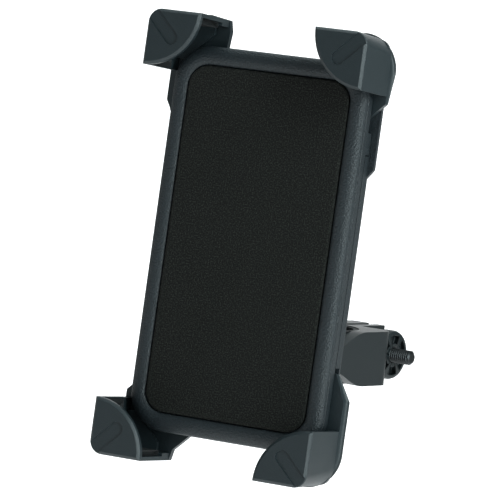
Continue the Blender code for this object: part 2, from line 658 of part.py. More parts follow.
# ---- lock ------------------------------------------------------------------------------
def lock_height():
    return PLATE_Z - COVER_WALL - LOCK_STEM / 2 - 2.4 * MM


def make_lock(plate):
    """Slider on the back whose inner wedge drops between the two upper arms."""
    height = lock_height()
    frame = empty("lock_slide", (0, 0, height), parent=plate)
    valley = CORNER_Z - CORNER_X + ARM_LEVEL_SIDE * sqrt(2)
    fit = GAP / 2
    lift = LOCK_TRAVEL + fit
    side = TOOTH_PITCH / sqrt(2)
    first = CORNER_Z - RACK_FIRST
    right = []
    for number in range(2, TOOTH_COUNT):
        top = first - number * side
        right += [(top - valley - fit, top + lift, 0), (top - valley - fit, top - side + lift, 0)]
    right.reverse()
    crown = PLATE_Z - COVER_WALL - SLIDE_FIT
    outer = right[-1][0]
    half = right + [(outer, crown, 0)]
    mirrored = [(-x, z, r) for x, z, r in reversed(half)]
    points = [(x, z - height) for x, z in rounded(half + mirrored)]
    stem_half = LOCK_STEM / 2
    hole = [(x, z) for x, z in rounded_box(stem_half + PIN_FIT, stem_half + PIN_FIT, 0)]
    put(outline_mesh("lock_wedge", [points, hole], ARM_Y, BACK_PLATE_Y - SLIDE_FIT / 2, True),
        "lock_wedge", "nylon", frame)
    button = rounded_box(BUTTON_WIDTH / 2, BUTTON_HEIGHT / 2, BUTTON_CORNER)
    slider = put(outline_mesh("lock_slider", [button], PLATE_DEPTH + GAP,
                              PLATE_DEPTH + GAP + BUTTON_THICK, True), "lock_slider", "cover", frame)
    join(slider, box_mesh("stem", (-stem_half, ARM_Y + GAP, -stem_half),
                          (stem_half, PLATE_DEPTH + GAP + BUTTON_THICK / 2, stem_half)))
    for row in (-1, 0, 1):
        middle = row * GRIP_PITCH
        low_y = PLATE_DEPTH + BUTTON_THICK - GAP
        cut(slider, box_mesh("grip", (-BUTTON_WIDTH / 3, low_y, middle - GRIP_RIDGE),
                             (BUTTON_WIDTH / 3, PLATE_DEPTH + 2 * BUTTON_THICK, middle + GRIP_RIDGE)))


# ---- ball joint ------------------------------------------------------------------------
def ball_arc(radius, low, high, steps=8):
    """(radius, y) points on a sphere about the ball's centre, between two heights along Y."""
    first = atan2(low, sqrt(radius ** 2 - low ** 2))
    last = atan2(high, sqrt(radius ** 2 - high ** 2))
    angles = [first + (last - first) * step / steps for step in range(steps + 1)]
    return [(radius * cos(angle), radius * sin(angle)) for angle in angles]


def make_ball_joint(plate):
    centre = empty("ball_centre", (0, BALL_Y, BALL_HEIGHT))
    floor = -BALL_BEHIND + GAP
    cup_end = CUP_END
    flange = floor + FLANGE_THICK
    socket = [(0, floor), (SOCKET_FLANGE, floor), (SOCKET_FLANGE, flange), (CUP_RADIUS, flange),
              (CUP_RADIUS, cup_end)]
    hollow_low = floor + SOCKET_FLOOR_THICK
    socket += [(SOCKET_RADIUS, cup_end)] + list(reversed(ball_arc(SOCKET_RADIUS, hollow_low, 0, 5)))
    socket += [(0, hollow_low)]
    body = put(turned_mesh("ball_socket", socket, 28), "ball_socket", "cover", centre)
    lip_end = COLLAR_LIP_END
    collar = [(CUP_RADIUS + GAP, flange + GAP), (COLLAR_RADIUS, flange + GAP),
              (COLLAR_RADIUS, lip_end - CORNER_BLEND), (COLLAR_RADIUS - CORNER_BLEND, lip_end)]
    collar += list(reversed(ball_arc(SOCKET_RADIUS, cup_end + GAP + COLLAR_STEP, lip_end, 4)))
    collar += [(CUP_RADIUS + GAP, cup_end + GAP + COLLAR_STEP)]
    nut = put(turned_mesh("collar_nut", collar, 30), "collar_nut", "claw", centre)
    for number in range(10):
        angle = 2 * pi * number / 10
        x = (COLLAR_RADIUS + 0.9 * MM) * cos(angle)
        z = (COLLAR_RADIUS + 0.9 * MM) * sin(angle)
        cut(nut, rod_mesh("grip", 1.6 * MM, (x, flange, z), (x, lip_end + GAP, z), 10))
    outer = SEAT_RADIUS + SEAT_THICK
    for name, low, high in (("ball_seat", *SEAT_SPAN), ("ball_ring", *RING_SPAN)):
        section = ball_arc(outer, low, high, 3) + list(reversed(ball_arc(SEAT_RADIUS, low, high, 3)))
        put(turned_mesh(name, section, 24), name, "nylon", centre)
    return body


def make_socket_screws(plate, body):
    """Four screws through ears of the socket's flange into the back cover."""
    place = (SOCKET_FLANGE + SCREW_HEAD) / sqrt(2) + 0.4 * MM
    floor = -BALL_BEHIND + GAP
    for number, (side, end) in enumerate(((-1, -1), (-1, 1), (1, -1), (1, 1)), 1):
        x = side * place
        z = end * place
        join(body, rod_mesh("ear", SCREW_HEAD + 1.3 * MM, (x, floor + STEP, z),
                            (x, floor + FLANGE_THICK - STEP, z), 20))
        cut(body, rod_mesh("ear_hole", SCREW_RADIUS + GAP, (x, floor - GAP, z), (x, floor + 3 * MM, z), 12))
        head_y = BALL_Y + floor + FLANGE_THICK + SCREW_HEAD_THICK
        make_screw(f"socket_screw_{number}", plate, x, z + BALL_HEIGHT, head_y, SOCKET_SCREW_LENGTH)
        cover = bpy.data.objects["back_cover"]
        cut(cover, rod_mesh("socket_pilot", SCREW_RADIUS + PIN_FIT, (x, BACK_PLATE_Y - GAP, z + BALL_HEIGHT),
                            (x, PLATE_DEPTH + GAP, z + BALL_HEIGHT), 12))


# ---- clamp -----------------------------------------------------------------------------
def jaw_outline():
    """Right jaw: ear, flat side, and the knuckle round the hinge pin."""
    far = CLAMP_REACH + CLAMP_HALF
    top = sqrt(BORE_RADIUS ** 2 - (EAR_GAP / 2) ** 2)
    start = atan2(top, EAR_GAP / 2) * 180 / pi
    points = rounded([(EAR_GAP / 2, CLAMP_REACH + top, 0), (EAR_GAP / 2, EAR_END_Y, CORNER_BLEND),
                      (RIGHT_EAR_X, EAR_END_Y, CORNER_BLEND), (RIGHT_EAR_X, far, CORNER_BLEND),
                      (CLAMP_HALF, far, CLAMP_CORNER), (CLAMP_HALF, HINGE[1], 0)])
    knuckle = list(reversed(arc(HINGE, KNUCKLE_RADIUS, 135, 350, 12)))
    bore = arc((0, CLAMP_REACH), BORE_RADIUS, -40, start - 3, 16)
    return points + knuckle + bore


def make_jaw(clamp):
    hinge = empty("jaw_hinge", (HINGE[0], HINGE[1], 0), parent=clamp)
    shift = Matrix.Translation((-HINGE[0], -HINGE[1], 0))
    mesh = outline_mesh("clamp_jaw", [jaw_outline()], -CLAMP_WIDTH / 2, CLAMP_WIDTH / 2)
    mesh.transform(shift)
    jaw = put(mesh, "clamp_jaw", "clamp", hinge)
    wide = CLAMP_REACH + 3 * MM - HINGE[1]
    narrow = KNUCKLE_RADIUS + 1 * MM
    drop = CLAMP_WIDTH / 2 - KNUCKLE_HALF
    steps = 8
    for side in (-1, 1):
        edge = [(narrow + (wide - narrow) * i / steps,
                 side * (KNUCKLE_HALF + drop * sin(pi / 2 * i / steps) ** 1.2)) for i in range(steps + 1)]
        loop = [(-10 * MM, side * KNUCKLE_HALF)] + edge + [(wide, side * 12 * MM), (-10 * MM, side * 12 * MM)]
        taper = outline_mesh("taper", [loop], -30 * MM, 10 * MM)
        taper.transform(Matrix(((0, 0, 1, 0), (1, 0, 0, 0), (0, 1, 0, 0), (0, 0, 0, 1))))
        cut(jaw, taper)
    cut(jaw, rod_mesh("pin_hole", PIN_RADIUS + PIN_FIT, (0, 0, -CLAMP_WIDTH), (0, 0, CLAMP_WIDTH), 16))
    ear_x = EAR_GAP / 2 - HINGE[0]
    bolt_slot = rounded_box(BOLT_RADIUS + EAR_SLOT_LONG, BOLT_RADIUS + EAR_SLOT_WIDE, BOLT_RADIUS, 5)
    slot = outline_mesh("bolt_slot", [bolt_slot], ear_x - CUT_PAST, ear_x + RIGHT_EAR + CUT_PAST)
    slot.transform(Matrix(((0, 0, 1, 0), (1, 0, 0, BOLT_Y - HINGE[1]), (0, 1, 0, 0), (0, 0, 0, 1))))
    cut(jaw, slot)
    return hinge


def body_outline():
    """Left jaw and the near wall, ending short of the hinge knuckle."""
    far = CLAMP_REACH + CLAMP_HALF
    near = CLAMP_REACH - CLAMP_HALF
    left_ear_x = -EAR_GAP / 2 - LEFT_EAR
    end_x = HINGE[0] - KNUCKLE_RADIUS - SLIDE_FIT - 0.4 * MM
    top = sqrt(BORE_RADIUS ** 2 - (EAR_GAP / 2) ** 2)
    start = 180 - atan2(top, EAR_GAP / 2) * 180 / pi
    bore = list(reversed(arc((0, CLAMP_REACH), BORE_RADIUS, start + 3, 303, 20)))
    rest = rounded([(-EAR_GAP / 2, CLAMP_REACH + top, 0), (-EAR_GAP / 2, EAR_END_Y, 1 * MM),
                    (left_ear_x, EAR_END_Y, CORNER_BLEND), (left_ear_x, far, CORNER_BLEND),
                    (-CLAMP_HALF, far, CLAMP_CORNER), (-CLAMP_HALF, near, CLAMP_CORNER + CORNER_BLEND),
                    (end_x, near, 0)])
    return rest + [(end_x, HINGE[1] + 1 * MM)] + bore


def make_clamp_body(clamp):
    half = CLAMP_WIDTH / 2
    near = CLAMP_REACH - CLAMP_HALF
    body = put(outline_mesh("clamp_body", [body_outline()], -half, half), "clamp_body", "clamp", clamp)
    lug = arc(HINGE, KNUCKLE_RADIUS, -90, 110, 12) + [(HINGE[0] - LUG_BACK, HINGE[1] + LUG_UP),
                                                     (HINGE[0] - LUG_ROOT, near)]
    for side in (-1, 1):
        low, high = sorted((side * (KNUCKLE_HALF + SLIDE_FIT), side * (half - 0.05 * MM)))
        join(body, outline_mesh("lug", [lug], low, high))
    join(body, rod_mesh("stem", STEM_RADIUS, (0, BALL_RADIUS / 2, 0), (0, near + 1 * MM, 0), 24),
         rod_mesh("stem_foot", STEM_RADIUS + 0.1 * MM, (0, near - 2 * MM, 0), (0, near + 0.5 * MM, 0), 24,
                  STEM_RADIUS + STEM_FOOT_SPREAD),
         ball_mesh("ball", BALL_RADIUS, (0, 0, 0), 24))
    cut(body, rod_mesh("pin_hole", PIN_RADIUS + PIN_FIT, (*HINGE, -CLAMP_WIDTH), (*HINGE, CLAMP_WIDTH), 16))
    ear_x = -EAR_GAP / 2 - LEFT_EAR
    flats = 2 / sqrt(3)
    cut(body, rod_mesh("bolt_hole", BOLT_RADIUS + GAP, (ear_x - CUT_PAST, BOLT_Y, 0), (0, BOLT_Y, 0), 20),
        rod_mesh("head_pocket", (BOLT_HEAD + PIN_FIT) * flats, (ear_x - CUT_PAST, BOLT_Y, 0),
                 (ear_x + BOLT_HEAD_THICK + GAP, BOLT_Y, 0), 6))


def make_bar_liners(clamp, hinge):
    outer = BORE_RADIUS - GAP
    inner = BORE_RADIUS - GAP - BAR_LINER
    half = CLAMP_WIDTH / 2 - LINER_INSET
    spans = {"bar_liner_left": (clamp, 98, 300, 20), "bar_liner_right": (hinge, -37, 82, 14)}
    for name, (parent, start, end, steps) in spans.items():
        loop = arc((0, CLAMP_REACH), outer, start, end, steps)
        loop += list(reversed(arc((0, CLAMP_REACH), inner, start, end, steps)))
        mesh = outline_mesh(name, [loop], -half, half)
        if parent is hinge:
            mesh.transform(Matrix.Translation((-HINGE[0], -HINGE[1], 0)))
        put(mesh, name, "rubber", parent)


def turned_on_x(name, profile, steps, sides_shift=0.0):
    """Mesh turned about X from (radius, x) points."""
    mesh = turned_mesh(name, profile, steps)
    mesh.transform(Matrix.Rotation(-pi / 2, 4, "Z") @ Matrix.Rotation(sides_shift, 4, "Y"))
    return mesh


def make_bolt(clamp):
    line = empty("bolt_line", (0, BOLT_Y, 0), parent=clamp)
    head_x = -EAR_GAP / 2 - LEFT_EAR + GAP
    head_end = head_x + BOLT_HEAD_THICK - GAP
    bolt = put(rod_mesh("clamp_bolt", BOLT_HEAD * 2 / sqrt(3), (head_x, 0, 0), (head_end, 0, 0), 6),
               "clamp_bolt", "black_steel", line)
    shank = [(0, head_end - 1 * MM), (BOLT_RADIUS, head_end - 1 * MM), (BOLT_RADIUS, BOLT_END_X - 0.8 * MM),
             (BOLT_RADIUS - 0.8 * MM, BOLT_END_X), (0, BOLT_END_X)]
    join(bolt, turned_on_x("shank", shank, 20))
    put(rod_mesh("hinge_pin", PIN_RADIUS, (*HINGE, -CLAMP_WIDTH / 2 - PIN_PROUD),
                 (*HINGE, CLAMP_WIDTH / 2 + PIN_PROUD), 16), "hinge_pin", "black_steel", clamp)
    return line


def make_knob(line):
    bore = BOLT_RADIUS + PIN_FIT
    washer = [(bore, WASHER_X), (WASHER_RADIUS, WASHER_X), (WASHER_RADIUS, WASHER_X + WASHER_THICK),
              (bore, WASHER_X + WASHER_THICK)]
    put(turned_on_x("clamp_washer", washer, 24), "clamp_washer", "zinc", line)
    end = KNOB_X + KNOB_THICK
    solid = [(bore, KNOB_X), (KNOB_RADIUS - KNOB_FRONT_BEVEL, KNOB_X),
             (KNOB_RADIUS, KNOB_X + KNOB_FRONT_BEVEL),
             (KNOB_RADIUS, end - KNOB_BACK_BEVEL), (KNOB_RADIUS - KNOB_BACK_BEVEL, end), (bore, end)]
    knob = put(turned_on_x("clamp_knob", solid, 30), "clamp_knob", "clamp", line)
    hub = BOLT_RADIUS + KNOB_HUB_WALL
    rim = KNOB_RADIUS - KNOB_RIM_WALL
    ribs = 6
    for number in range(ribs):
        start = 360 * number / ribs + 8
        stop = start + 360 / ribs - 16
        pocket = arc((0, 0), rim, start, stop, 5) + list(reversed(arc((0, 0), hub, start, stop, 5)))
        tool = outline_mesh("pocket", [pocket], end - KNOB_POCKET_DEEP, end + CUT_PAST)
        tool.transform(Matrix(((0, 0, 1, 0), (1, 0, 0, 0), (0, 1, 0, 0), (0, 0, 0, 1))))
        cut(knob, tool)
    flats = 2 / sqrt(3)
    cut(knob, rod_mesh("nut_pocket", (BOLT_HEAD + PIN_FIT) * flats, (KNOB_X - CUT_PAST, 0, 0),
                       (KNOB_X + NUT_THICK + GAP, 0, 0), 6))
    nut = put(rod_mesh("knob_nut", BOLT_HEAD * flats, (KNOB_X + GAP / 3, 0, 0),
                       (KNOB_X + NUT_THICK, 0, 0), 6), "knob_nut", "zinc", line)
    cut(nut, rod_mesh("thread", bore, (KNOB_X - CUT_PAST, 0, 0), (end, 0, 0), 20))


def make_clamp():
    clamp = empty("clamp_frame", (0, BALL_Y, BALL_HEIGHT), (CLAMP_RISE, 0, -CLAMP_TURN))
    make_clamp_body(clamp)
    hinge = make_jaw(clamp)
    make_bar_liners(clamp, hinge)
    make_knob(make_bolt(clamp))


def main():
    plate = empty("plate_frame", (0, 0, 0))
    make_pad(plate)
    make_front_cover(plate)
    make_back_cover(plate)
    make_cover_screws(plate)
    for label, side, end in (("top_right", 1, 1), ("top_left", -1, 1),
                             ("bottom_right", 1, -1), ("bottom_left", -1, -1)):
        make_claw(label, side, end, plate)
    make_lock(plate)
    body = make_ball_joint(plate)
    make_socket_screws(plate, body)
    make_clamp()


for old in list(bpy.data.objects):
    bpy.data.objects.remove(old)
PARTS = new_collection("phone_handlebar_mount")
TOOLS = new_collection("cutters")
main()
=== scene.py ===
"""Phone handlebar mount: detailed pieces and finishes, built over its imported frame.

Metres, Z up, X to the right as the phone is read, Y away from the phone.
"""

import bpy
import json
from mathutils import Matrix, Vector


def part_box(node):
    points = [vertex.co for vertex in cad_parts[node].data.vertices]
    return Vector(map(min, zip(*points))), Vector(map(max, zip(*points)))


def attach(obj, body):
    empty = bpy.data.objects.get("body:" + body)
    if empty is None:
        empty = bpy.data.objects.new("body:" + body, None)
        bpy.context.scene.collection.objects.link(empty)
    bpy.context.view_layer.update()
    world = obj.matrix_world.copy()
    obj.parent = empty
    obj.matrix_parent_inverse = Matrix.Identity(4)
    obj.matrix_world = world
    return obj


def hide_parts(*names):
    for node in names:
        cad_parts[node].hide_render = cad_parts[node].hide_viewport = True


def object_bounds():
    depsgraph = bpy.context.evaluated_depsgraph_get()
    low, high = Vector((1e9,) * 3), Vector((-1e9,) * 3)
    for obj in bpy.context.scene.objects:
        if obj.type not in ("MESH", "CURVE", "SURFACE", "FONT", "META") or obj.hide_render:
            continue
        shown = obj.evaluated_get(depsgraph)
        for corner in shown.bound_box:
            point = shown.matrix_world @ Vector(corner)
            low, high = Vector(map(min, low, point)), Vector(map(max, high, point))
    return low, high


bl_info = {
    "name": "Phone Handlebar Mount",
    "version": (1, 0, 0),
    "blender": (4, 5, 0),
    "location": "3D View > Sidebar > Mount",
    "description": "Builds the pieces of a phone handlebar mount and the stage it is shown on",
    "category": "Add Mesh",
}

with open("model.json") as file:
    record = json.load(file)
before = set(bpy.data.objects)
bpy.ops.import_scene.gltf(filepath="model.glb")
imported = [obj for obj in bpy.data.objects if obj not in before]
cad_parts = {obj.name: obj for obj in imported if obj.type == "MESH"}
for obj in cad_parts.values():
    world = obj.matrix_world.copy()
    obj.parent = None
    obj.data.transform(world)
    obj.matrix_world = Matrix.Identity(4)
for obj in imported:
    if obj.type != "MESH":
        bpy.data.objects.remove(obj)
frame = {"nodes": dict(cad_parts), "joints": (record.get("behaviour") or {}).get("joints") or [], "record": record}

import json
from math import asin, atan2, cos, degrees, pi, radians, sin, sqrt, tan

import bmesh
import bpy
from bpy.props import FloatProperty, FloatVectorProperty, IntProperty, PointerProperty
from mathutils import Matrix, Vector

MM = 0.001
CAD_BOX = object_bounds()

# ---- places read from the frame ----------------------------------------------------------
JOINTS = {joint["name"]: joint for joint in frame["joints"]}
BALL = Vector(JOINTS["plate_tilt"]["pos_m"])
CLAMP_X = Vector(JOINTS["washer_travel"]["axis"])
CLAMP_Z = Vector(JOINTS["jaw_close"]["axis"])
CLAMP_Y = CLAMP_Z.cross(CLAMP_X)
CLAMP = Matrix.Translation(BALL) @ Matrix((CLAMP_X, CLAMP_Y, CLAMP_Z)).transposed().to_4x4()
HINGE = CLAMP.inverted() @ Vector(JOINTS["jaw_close"]["pos_m"])
BOLT_Y = (CLAMP.inverted() @ Vector(JOINTS["knob_spin"]["pos_m"])).y

PAD_LOW, PAD_HIGH = (Vector(point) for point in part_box("foam_pad"))
FRONT_LOW, FRONT_HIGH = (Vector(point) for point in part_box("front_cover"))
BACK_LOW, BACK_HIGH = (Vector(point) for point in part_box("back_cover"))
CAP_LOW, CAP_HIGH = (Vector(point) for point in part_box("claw_top_right_cap"))
LINER_LOW, LINER_HIGH = (Vector(point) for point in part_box("claw_top_right_liner"))
ARM_LOW, ARM_HIGH = (Vector(point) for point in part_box("claw_top_right_arm"))
LOCK_LOW, LOCK_HIGH = (Vector(point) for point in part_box("lock_slider"))
PLATE_X, PLATE_Z = FRONT_HIGH.x, FRONT_HIGH.z
PLATE_BACK = BACK_HIGH.y
CORNER_X, CORNER_Z = CAP_HIGH.x, CAP_HIGH.z
LEG = CAP_HIGH.x - CAP_LOW.x
CORNERS = {"top_right": (1, 1), "top_left": (-1, 1), "bottom_right": (1, -1), "bottom_left": (-1, -1)}

# ---- sizes that follow from the CAD pieces -------------------------------------------------
COVER_WALL = 2 * MM
BACK_ROUND = 1.1 * MM        # rounding of the back cover's rear edge
BASE_THICK = 2.2 * MM
BASE_WALL = 2.3 * MM
BASE_ROUND = 1.2 * MM
LEVEL_SIDE = 10.7 * MM       # arm edges, each from the diagonal
UPRIGHT_SIDE = 14.3 * MM
ARM_END = 44 * MM
ARM_SLOT_HALF = 2.85 * MM
ARM_SLOT = (16.4 * MM, 41.2 * MM)
RACK_FIRST = 12.95 * MM
RACK_NOTCHES = 5
RACK_SIDE = 2 * MM
BALL_BORE = 8.75 * MM        # inside of the ball socket
SOCKET_CUP = 11.05 * MM      # outside of the ball socket
SOCKET_FLANGE = 16 * MM
COLLAR_GRIPS = 10


# ---- sizes and colours that can be changed ------------------------------------------------
def length(name, default, description):
    return FloatProperty(name=name, default=default * MM, description=description, unit="LENGTH",
                         subtype="DISTANCE", precision=5)


def colour(name, default, description):
    return FloatVectorProperty(name=name, default=default, description=description, subtype="COLOR",
                               min=0, max=1)


class MountSizes(bpy.types.PropertyGroup):
    """Sizes of the visible details."""
    edge: length("Edge rounding", 0.22, "Rounding of a moulded edge")
    plate_corner: length("Plate corner", 12.0, "Corner radius of both covers")
    pad_corner: length("Pad corner", 6.5, "Corner radius of the foam pad")
    pad_seam: length("Pad seam", 0.4, "Open line round the foam pad")
    crown: length("Border crown", 1.5, "Fall of the border from its crown to its outer edge")
    lip_margin: length("Lip margin", 0.9, "Width of the sloped margin round a claw's lip")
    lip_slope: length("Lip slope", 0.5, "Depth of the sloped margin round a claw's lip")
    lip_thick: length("Lip thickness", 2.2, "Thickness of a claw's lip")
    claw_corner: length("Claw corner", 4.3, "Corner radius of a claw at its lip")
    seam_corner: length("Seam corner", 6.2, "Corner radius of a claw where cap and base meet")
    base_corner: length("Base corner", 10.5, "Corner radius of a claw's base")
    skin: length("Claw skin", 1.3, "Outer wall of a claw's cap")
    flute_width: length("Flute width", 4.4, "Width of the thumb groove on a claw's lip")
    flute_depth: length("Flute depth", 0.5, "Depth of the thumb groove")
    flute_length: length("Flute length", 14.5, "Claw's corner to the groove's inner end")
    thread_pitch: length("Thread pitch", 0.8, "Pitch of the clamp bolt's thread")
    knob_pockets: IntProperty(name="Knob pockets", default=6, min=3, max=12,
                              description="Number of pockets in the knob's face")


class MountColours(bpy.types.PropertyGroup):
    """Colours of the finishes."""
    pad: colour("Foam", (0.0040, 0.0043, 0.0036), "Foam pad")
    cover: colour("Covers", (0.0085, 0.0125, 0.0150), "Both covers of the plate")
    claw: colour("Claws", (0.0095, 0.0150, 0.0175), "Claw caps and bases")
    clamp: colour("Clamp", (0.0042, 0.0070, 0.0080), "Bar clamp and knob")
    rubber: colour("Rubber", (0.0025, 0.0032, 0.0036), "Claw and bar liners")
    nylon: colour("Nylon", (0.60, 0.60, 0.57), "Ball seat and lock wedge")
    backdrop: colour("Backdrop", (0.9, 0.9, 0.9), "Floor and backdrop")


# ---- finishes -----------------------------------------------------------------------------
def new_finish(name):
    """New material with its shader and node tree."""
    made = bpy.data.materials.new(name)
    made.use_nodes = True
    return made, made.node_tree.nodes["Principled BSDF"], made.node_tree


def pattern(tree, kind, scale, **settings):
    """Texture node on Object coordinates."""
    texture = tree.nodes.new(kind)
    place = tree.nodes.new("ShaderNodeTexCoord")
    texture.inputs["Scale"].default_value = scale
    for name, value in settings.items():
        texture.inputs[name].default_value = value
    tree.links.new(place.outputs["Object"], texture.inputs["Vector"])
    return texture


def between(tree, factor, low, high):
    """Mix node from one colour to another by a texture's value."""
    mix = tree.nodes.new("ShaderNodeMix")
    mix.data_type = "RGBA"
    mix.inputs["A"].default_value = (*low, 1)
    mix.inputs["B"].default_value = (*high, 1)
    tree.links.new(factor, mix.inputs["Factor"])
    return mix.outputs["Result"]


def ranged(tree, value, low, high, start=0.0, stop=1.0):
    """A texture's value from start to stop, spread from low to high."""
    spread = tree.nodes.new("ShaderNodeMapRange")
    spread.inputs["From Min"].default_value = start
    spread.inputs["From Max"].default_value = stop
    spread.inputs["To Min"].default_value = low
    spread.inputs["To Max"].default_value = high
    tree.links.new(value, spread.inputs["Value"])
    return spread.outputs["Result"]


def relief(tree, shader, height, depth, strength=1.0):
    bump = tree.nodes.new("ShaderNodeBump")
    bump.inputs["Distance"].default_value = depth
    bump.inputs["Strength"].default_value = strength
    tree.links.new(height, bump.inputs["Height"])
    tree.links.new(bump.outputs["Normal"], shader.inputs["Normal"])


def moulded(name, tint, roughness, grain, depth, contrast):
    """Moulded surface: pebbled grain, mottled in colour and gloss."""
    made, shader, tree = new_finish(name)
    pebbles = pattern(tree, "ShaderNodeTexVoronoi", 1 / grain)
    clouds = pattern(tree, "ShaderNodeTexNoise", 90, Detail=4.0)
    mottling = pattern(tree, "ShaderNodeTexNoise", 1.7 / grain, Detail=3.0)
    speck = ranged(tree, mottling.outputs["Fac"], 0, 1, 0.35, 0.65)
    low = [part * (1 - contrast) for part in tint]
    high = [part * (1 + contrast) for part in tint]
    tree.links.new(between(tree, speck, low, high), shader.inputs["Base Color"])
    tree.links.new(ranged(tree, clouds.outputs["Fac"], roughness - 0.06, roughness + 0.06),
                   shader.inputs["Roughness"])
    shader.inputs["Specular IOR Level"].default_value = 0.4
    relief(tree, shader, pebbles.outputs["Distance"], depth, 0.9)
    return made


def foam(name, tint):
    """Closed-cell foam: cut cells as fine specks."""
    made, shader, tree = new_finish(name)
    cells = pattern(tree, "ShaderNodeTexNoise", 2300, Detail=3.0)
    broad = pattern(tree, "ShaderNodeTexNoise", 60, Detail=3.0)
    speck = ranged(tree, cells.outputs["Fac"], 0, 1, 0.46, 0.72)
    low = [part * 0.6 for part in tint]
    high = [part * 6 for part in tint]
    tree.links.new(between(tree, speck, low, high), shader.inputs["Base Color"])
    tree.links.new(ranged(tree, broad.outputs["Fac"], 0.86, 1.0), shader.inputs["Roughness"])
    shader.inputs["Specular IOR Level"].default_value = 0.2
    relief(tree, shader, cells.outputs["Fac"], 0.25 * MM, 0.5)
    return made


def metal(name, tint, roughness, metallic):
    """Plated or blackened steel with a faint mottling."""
    made, shader, tree = new_finish(name)
    marks = pattern(tree, "ShaderNodeTexNoise", 900, Detail=5.0)
    tree.links.new(between(tree, marks.outputs["Fac"], [part * 0.75 for part in tint],
                           [part * 1.2 for part in tint]), shader.inputs["Base Color"])
    tree.links.new(ranged(tree, marks.outputs["Fac"], roughness - 0.08, roughness + 0.1),
                   shader.inputs["Roughness"])
    shader.inputs["Metallic"].default_value = metallic
    return made


def finish(slot):
    """The finish of a material slot, made once."""
    name = f"{slot}_finish"
    found = bpy.data.materials.get(name)
    if found:
        return found
    tints = bpy.context.scene.mount_colours
    makers = {
        "pad": lambda: foam(name, tints.pad),
        "cover": lambda: moulded(name, tints.cover, 0.50, 0.5 * MM, 0.16 * MM, 0.5),
        "claw": lambda: moulded(name, tints.claw, 0.46, 0.35 * MM, 0.03 * MM, 0.12),
        "clamp": lambda: moulded(name, tints.clamp, 0.44, 0.35 * MM, 0.03 * MM, 0.12),
        "rubber": lambda: moulded(name, tints.rubber, 0.78, 0.30 * MM, 0.02 * MM, 0.15),
        "nylon": lambda: moulded(name, tints.nylon, 0.40, 0.60 * MM, 0.01 * MM, 0.03),
        "black_steel": lambda: metal(name, (0.022, 0.023, 0.024), 0.34, 0.75),
        "zinc": lambda: metal(name, (0.55, 0.56, 0.57), 0.32, 1.0),
        "spring": lambda: metal(name, (0.50, 0.50, 0.52), 0.26, 1.0),
    }
    return makers[slot]()


# ---- modelling helpers --------------------------------------------------------------------
def arc(centre, radius, start, end, steps):
    """Corner-free outline points on a circle, from one angle to another in degrees."""
    angles = [radians(start + (end - start) * step / steps) for step in range(steps + 1)]
    return [(centre[0] + radius * cos(angle), centre[1] + radius * sin(angle), 0) for angle in angles]


def flat(bm, corners, depth, segments):
    """Face across Y through (x, z, fillet) corners, with its corners rounded."""
    before = set(bm.faces)
    verts = [bm.verts.new((x, depth, z)) for x, z, _ in corners]
    bm.faces.new(verts)
    for vert, (_, _, fillet) in zip(verts, corners):
        if fillet > 0:
            spans = [edge.other_vert(vert).co - vert.co for edge in vert.link_edges]
            reach = fillet / tan(spans[0].angle(spans[1]) / 2)
            bmesh.ops.bevel(bm, geom=[vert], offset=reach, offset_type="OFFSET", segments=segments,
                            profile=0.5, affect="VERTICES", clamp_overlap=False, material=-1)
    return next(face for face in bm.faces if face not in before)


def loft(sections, segments=8):
    """Solid through (corners, depth) sections along Y; each has the same corners in another size."""
    bm = bmesh.new()
    faces = [flat(bm, corners, depth, segments) for corners, depth in sections]
    for first, second in zip(faces, faces[1:]):
        bmesh.ops.bridge_loops(bm, edges=[*first.edges, *second.edges])
    bmesh.ops.delete(bm, geom=faces[1:-1], context="FACES_ONLY")
    return bm


def slab(corners, low, high, segments=8):
    return loft([(corners, low), (corners, high)], segments)


def block(low, high):
    bm = bmesh.new()
    bmesh.ops.create_cube(bm, size=1)
    low, high = Vector(low), Vector(high)
    bmesh.ops.scale(bm, verts=bm.verts, vec=high - low)
    bmesh.ops.translate(bm, verts=bm.verts, vec=(high + low) / 2)
    return bm


def turned(profile, steps=64):
    """Solid turned about Y from (radius, y) points; it is closed on the axis or on itself."""
    bm = bmesh.new()
    row = [bm.verts.new((radius, depth, 0)) for radius, depth in profile]
    edges = [bm.edges.new(pair) for pair in zip(row, row[1:])]
    if profile[0][0] > 0:
        edges.append(bm.edges.new((row[-1], row[0])))
    bmesh.ops.spin(bm, geom=[*row, *edges], axis=(0, 1, 0), cent=(0, 0, 0), angle=2 * pi, steps=steps,
                   use_merge=True)
    bmesh.ops.remove_doubles(bm, verts=bm.verts, dist=1e-7)
    bmesh.ops.recalc_face_normals(bm, faces=bm.faces)
    return bm


def rod(radius, start, end, sides=32):
    """Round bar between two points."""
    start, end = Vector(start), Vector(end)
    bm = bmesh.new()
    bmesh.ops.create_cone(bm, cap_ends=True, segments=sides, radius1=radius, radius2=radius,
                          depth=(end - start).length)
    turn = (end - start).to_track_quat("Z", "Y").to_matrix().to_4x4()
    bmesh.ops.transform(bm, verts=bm.verts, matrix=Matrix.Translation((start + end) / 2) @ turn)
    return bm


def capsule(radius, start, end, sides=48):
    """Round bar with round ends between two points."""
    start, end = Vector(start), Vector(end)
    bm = bmesh.new()
    bmesh.ops.create_uvsphere(bm, u_segments=sides, v_segments=sides // 2, radius=radius)
    far = [vert for vert in bm.verts if vert.co.z > radius / sides]
    bmesh.ops.translate(bm, verts=far, vec=(0, 0, (end - start).length))
    turn = (end - start).to_track_quat("Z", "Y").to_matrix().to_4x4()
    bmesh.ops.transform(bm, verts=bm.verts, matrix=Matrix.Translation(start) @ turn)
    return bm


def moved(bm, matrix):
    """The same solid in another place; one turned inside out by a mirror is put right."""
    bmesh.ops.transform(bm, verts=bm.verts, matrix=matrix)
    if matrix.determinant() < 0:
        bmesh.ops.reverse_faces(bm, faces=bm.faces)
    return bm


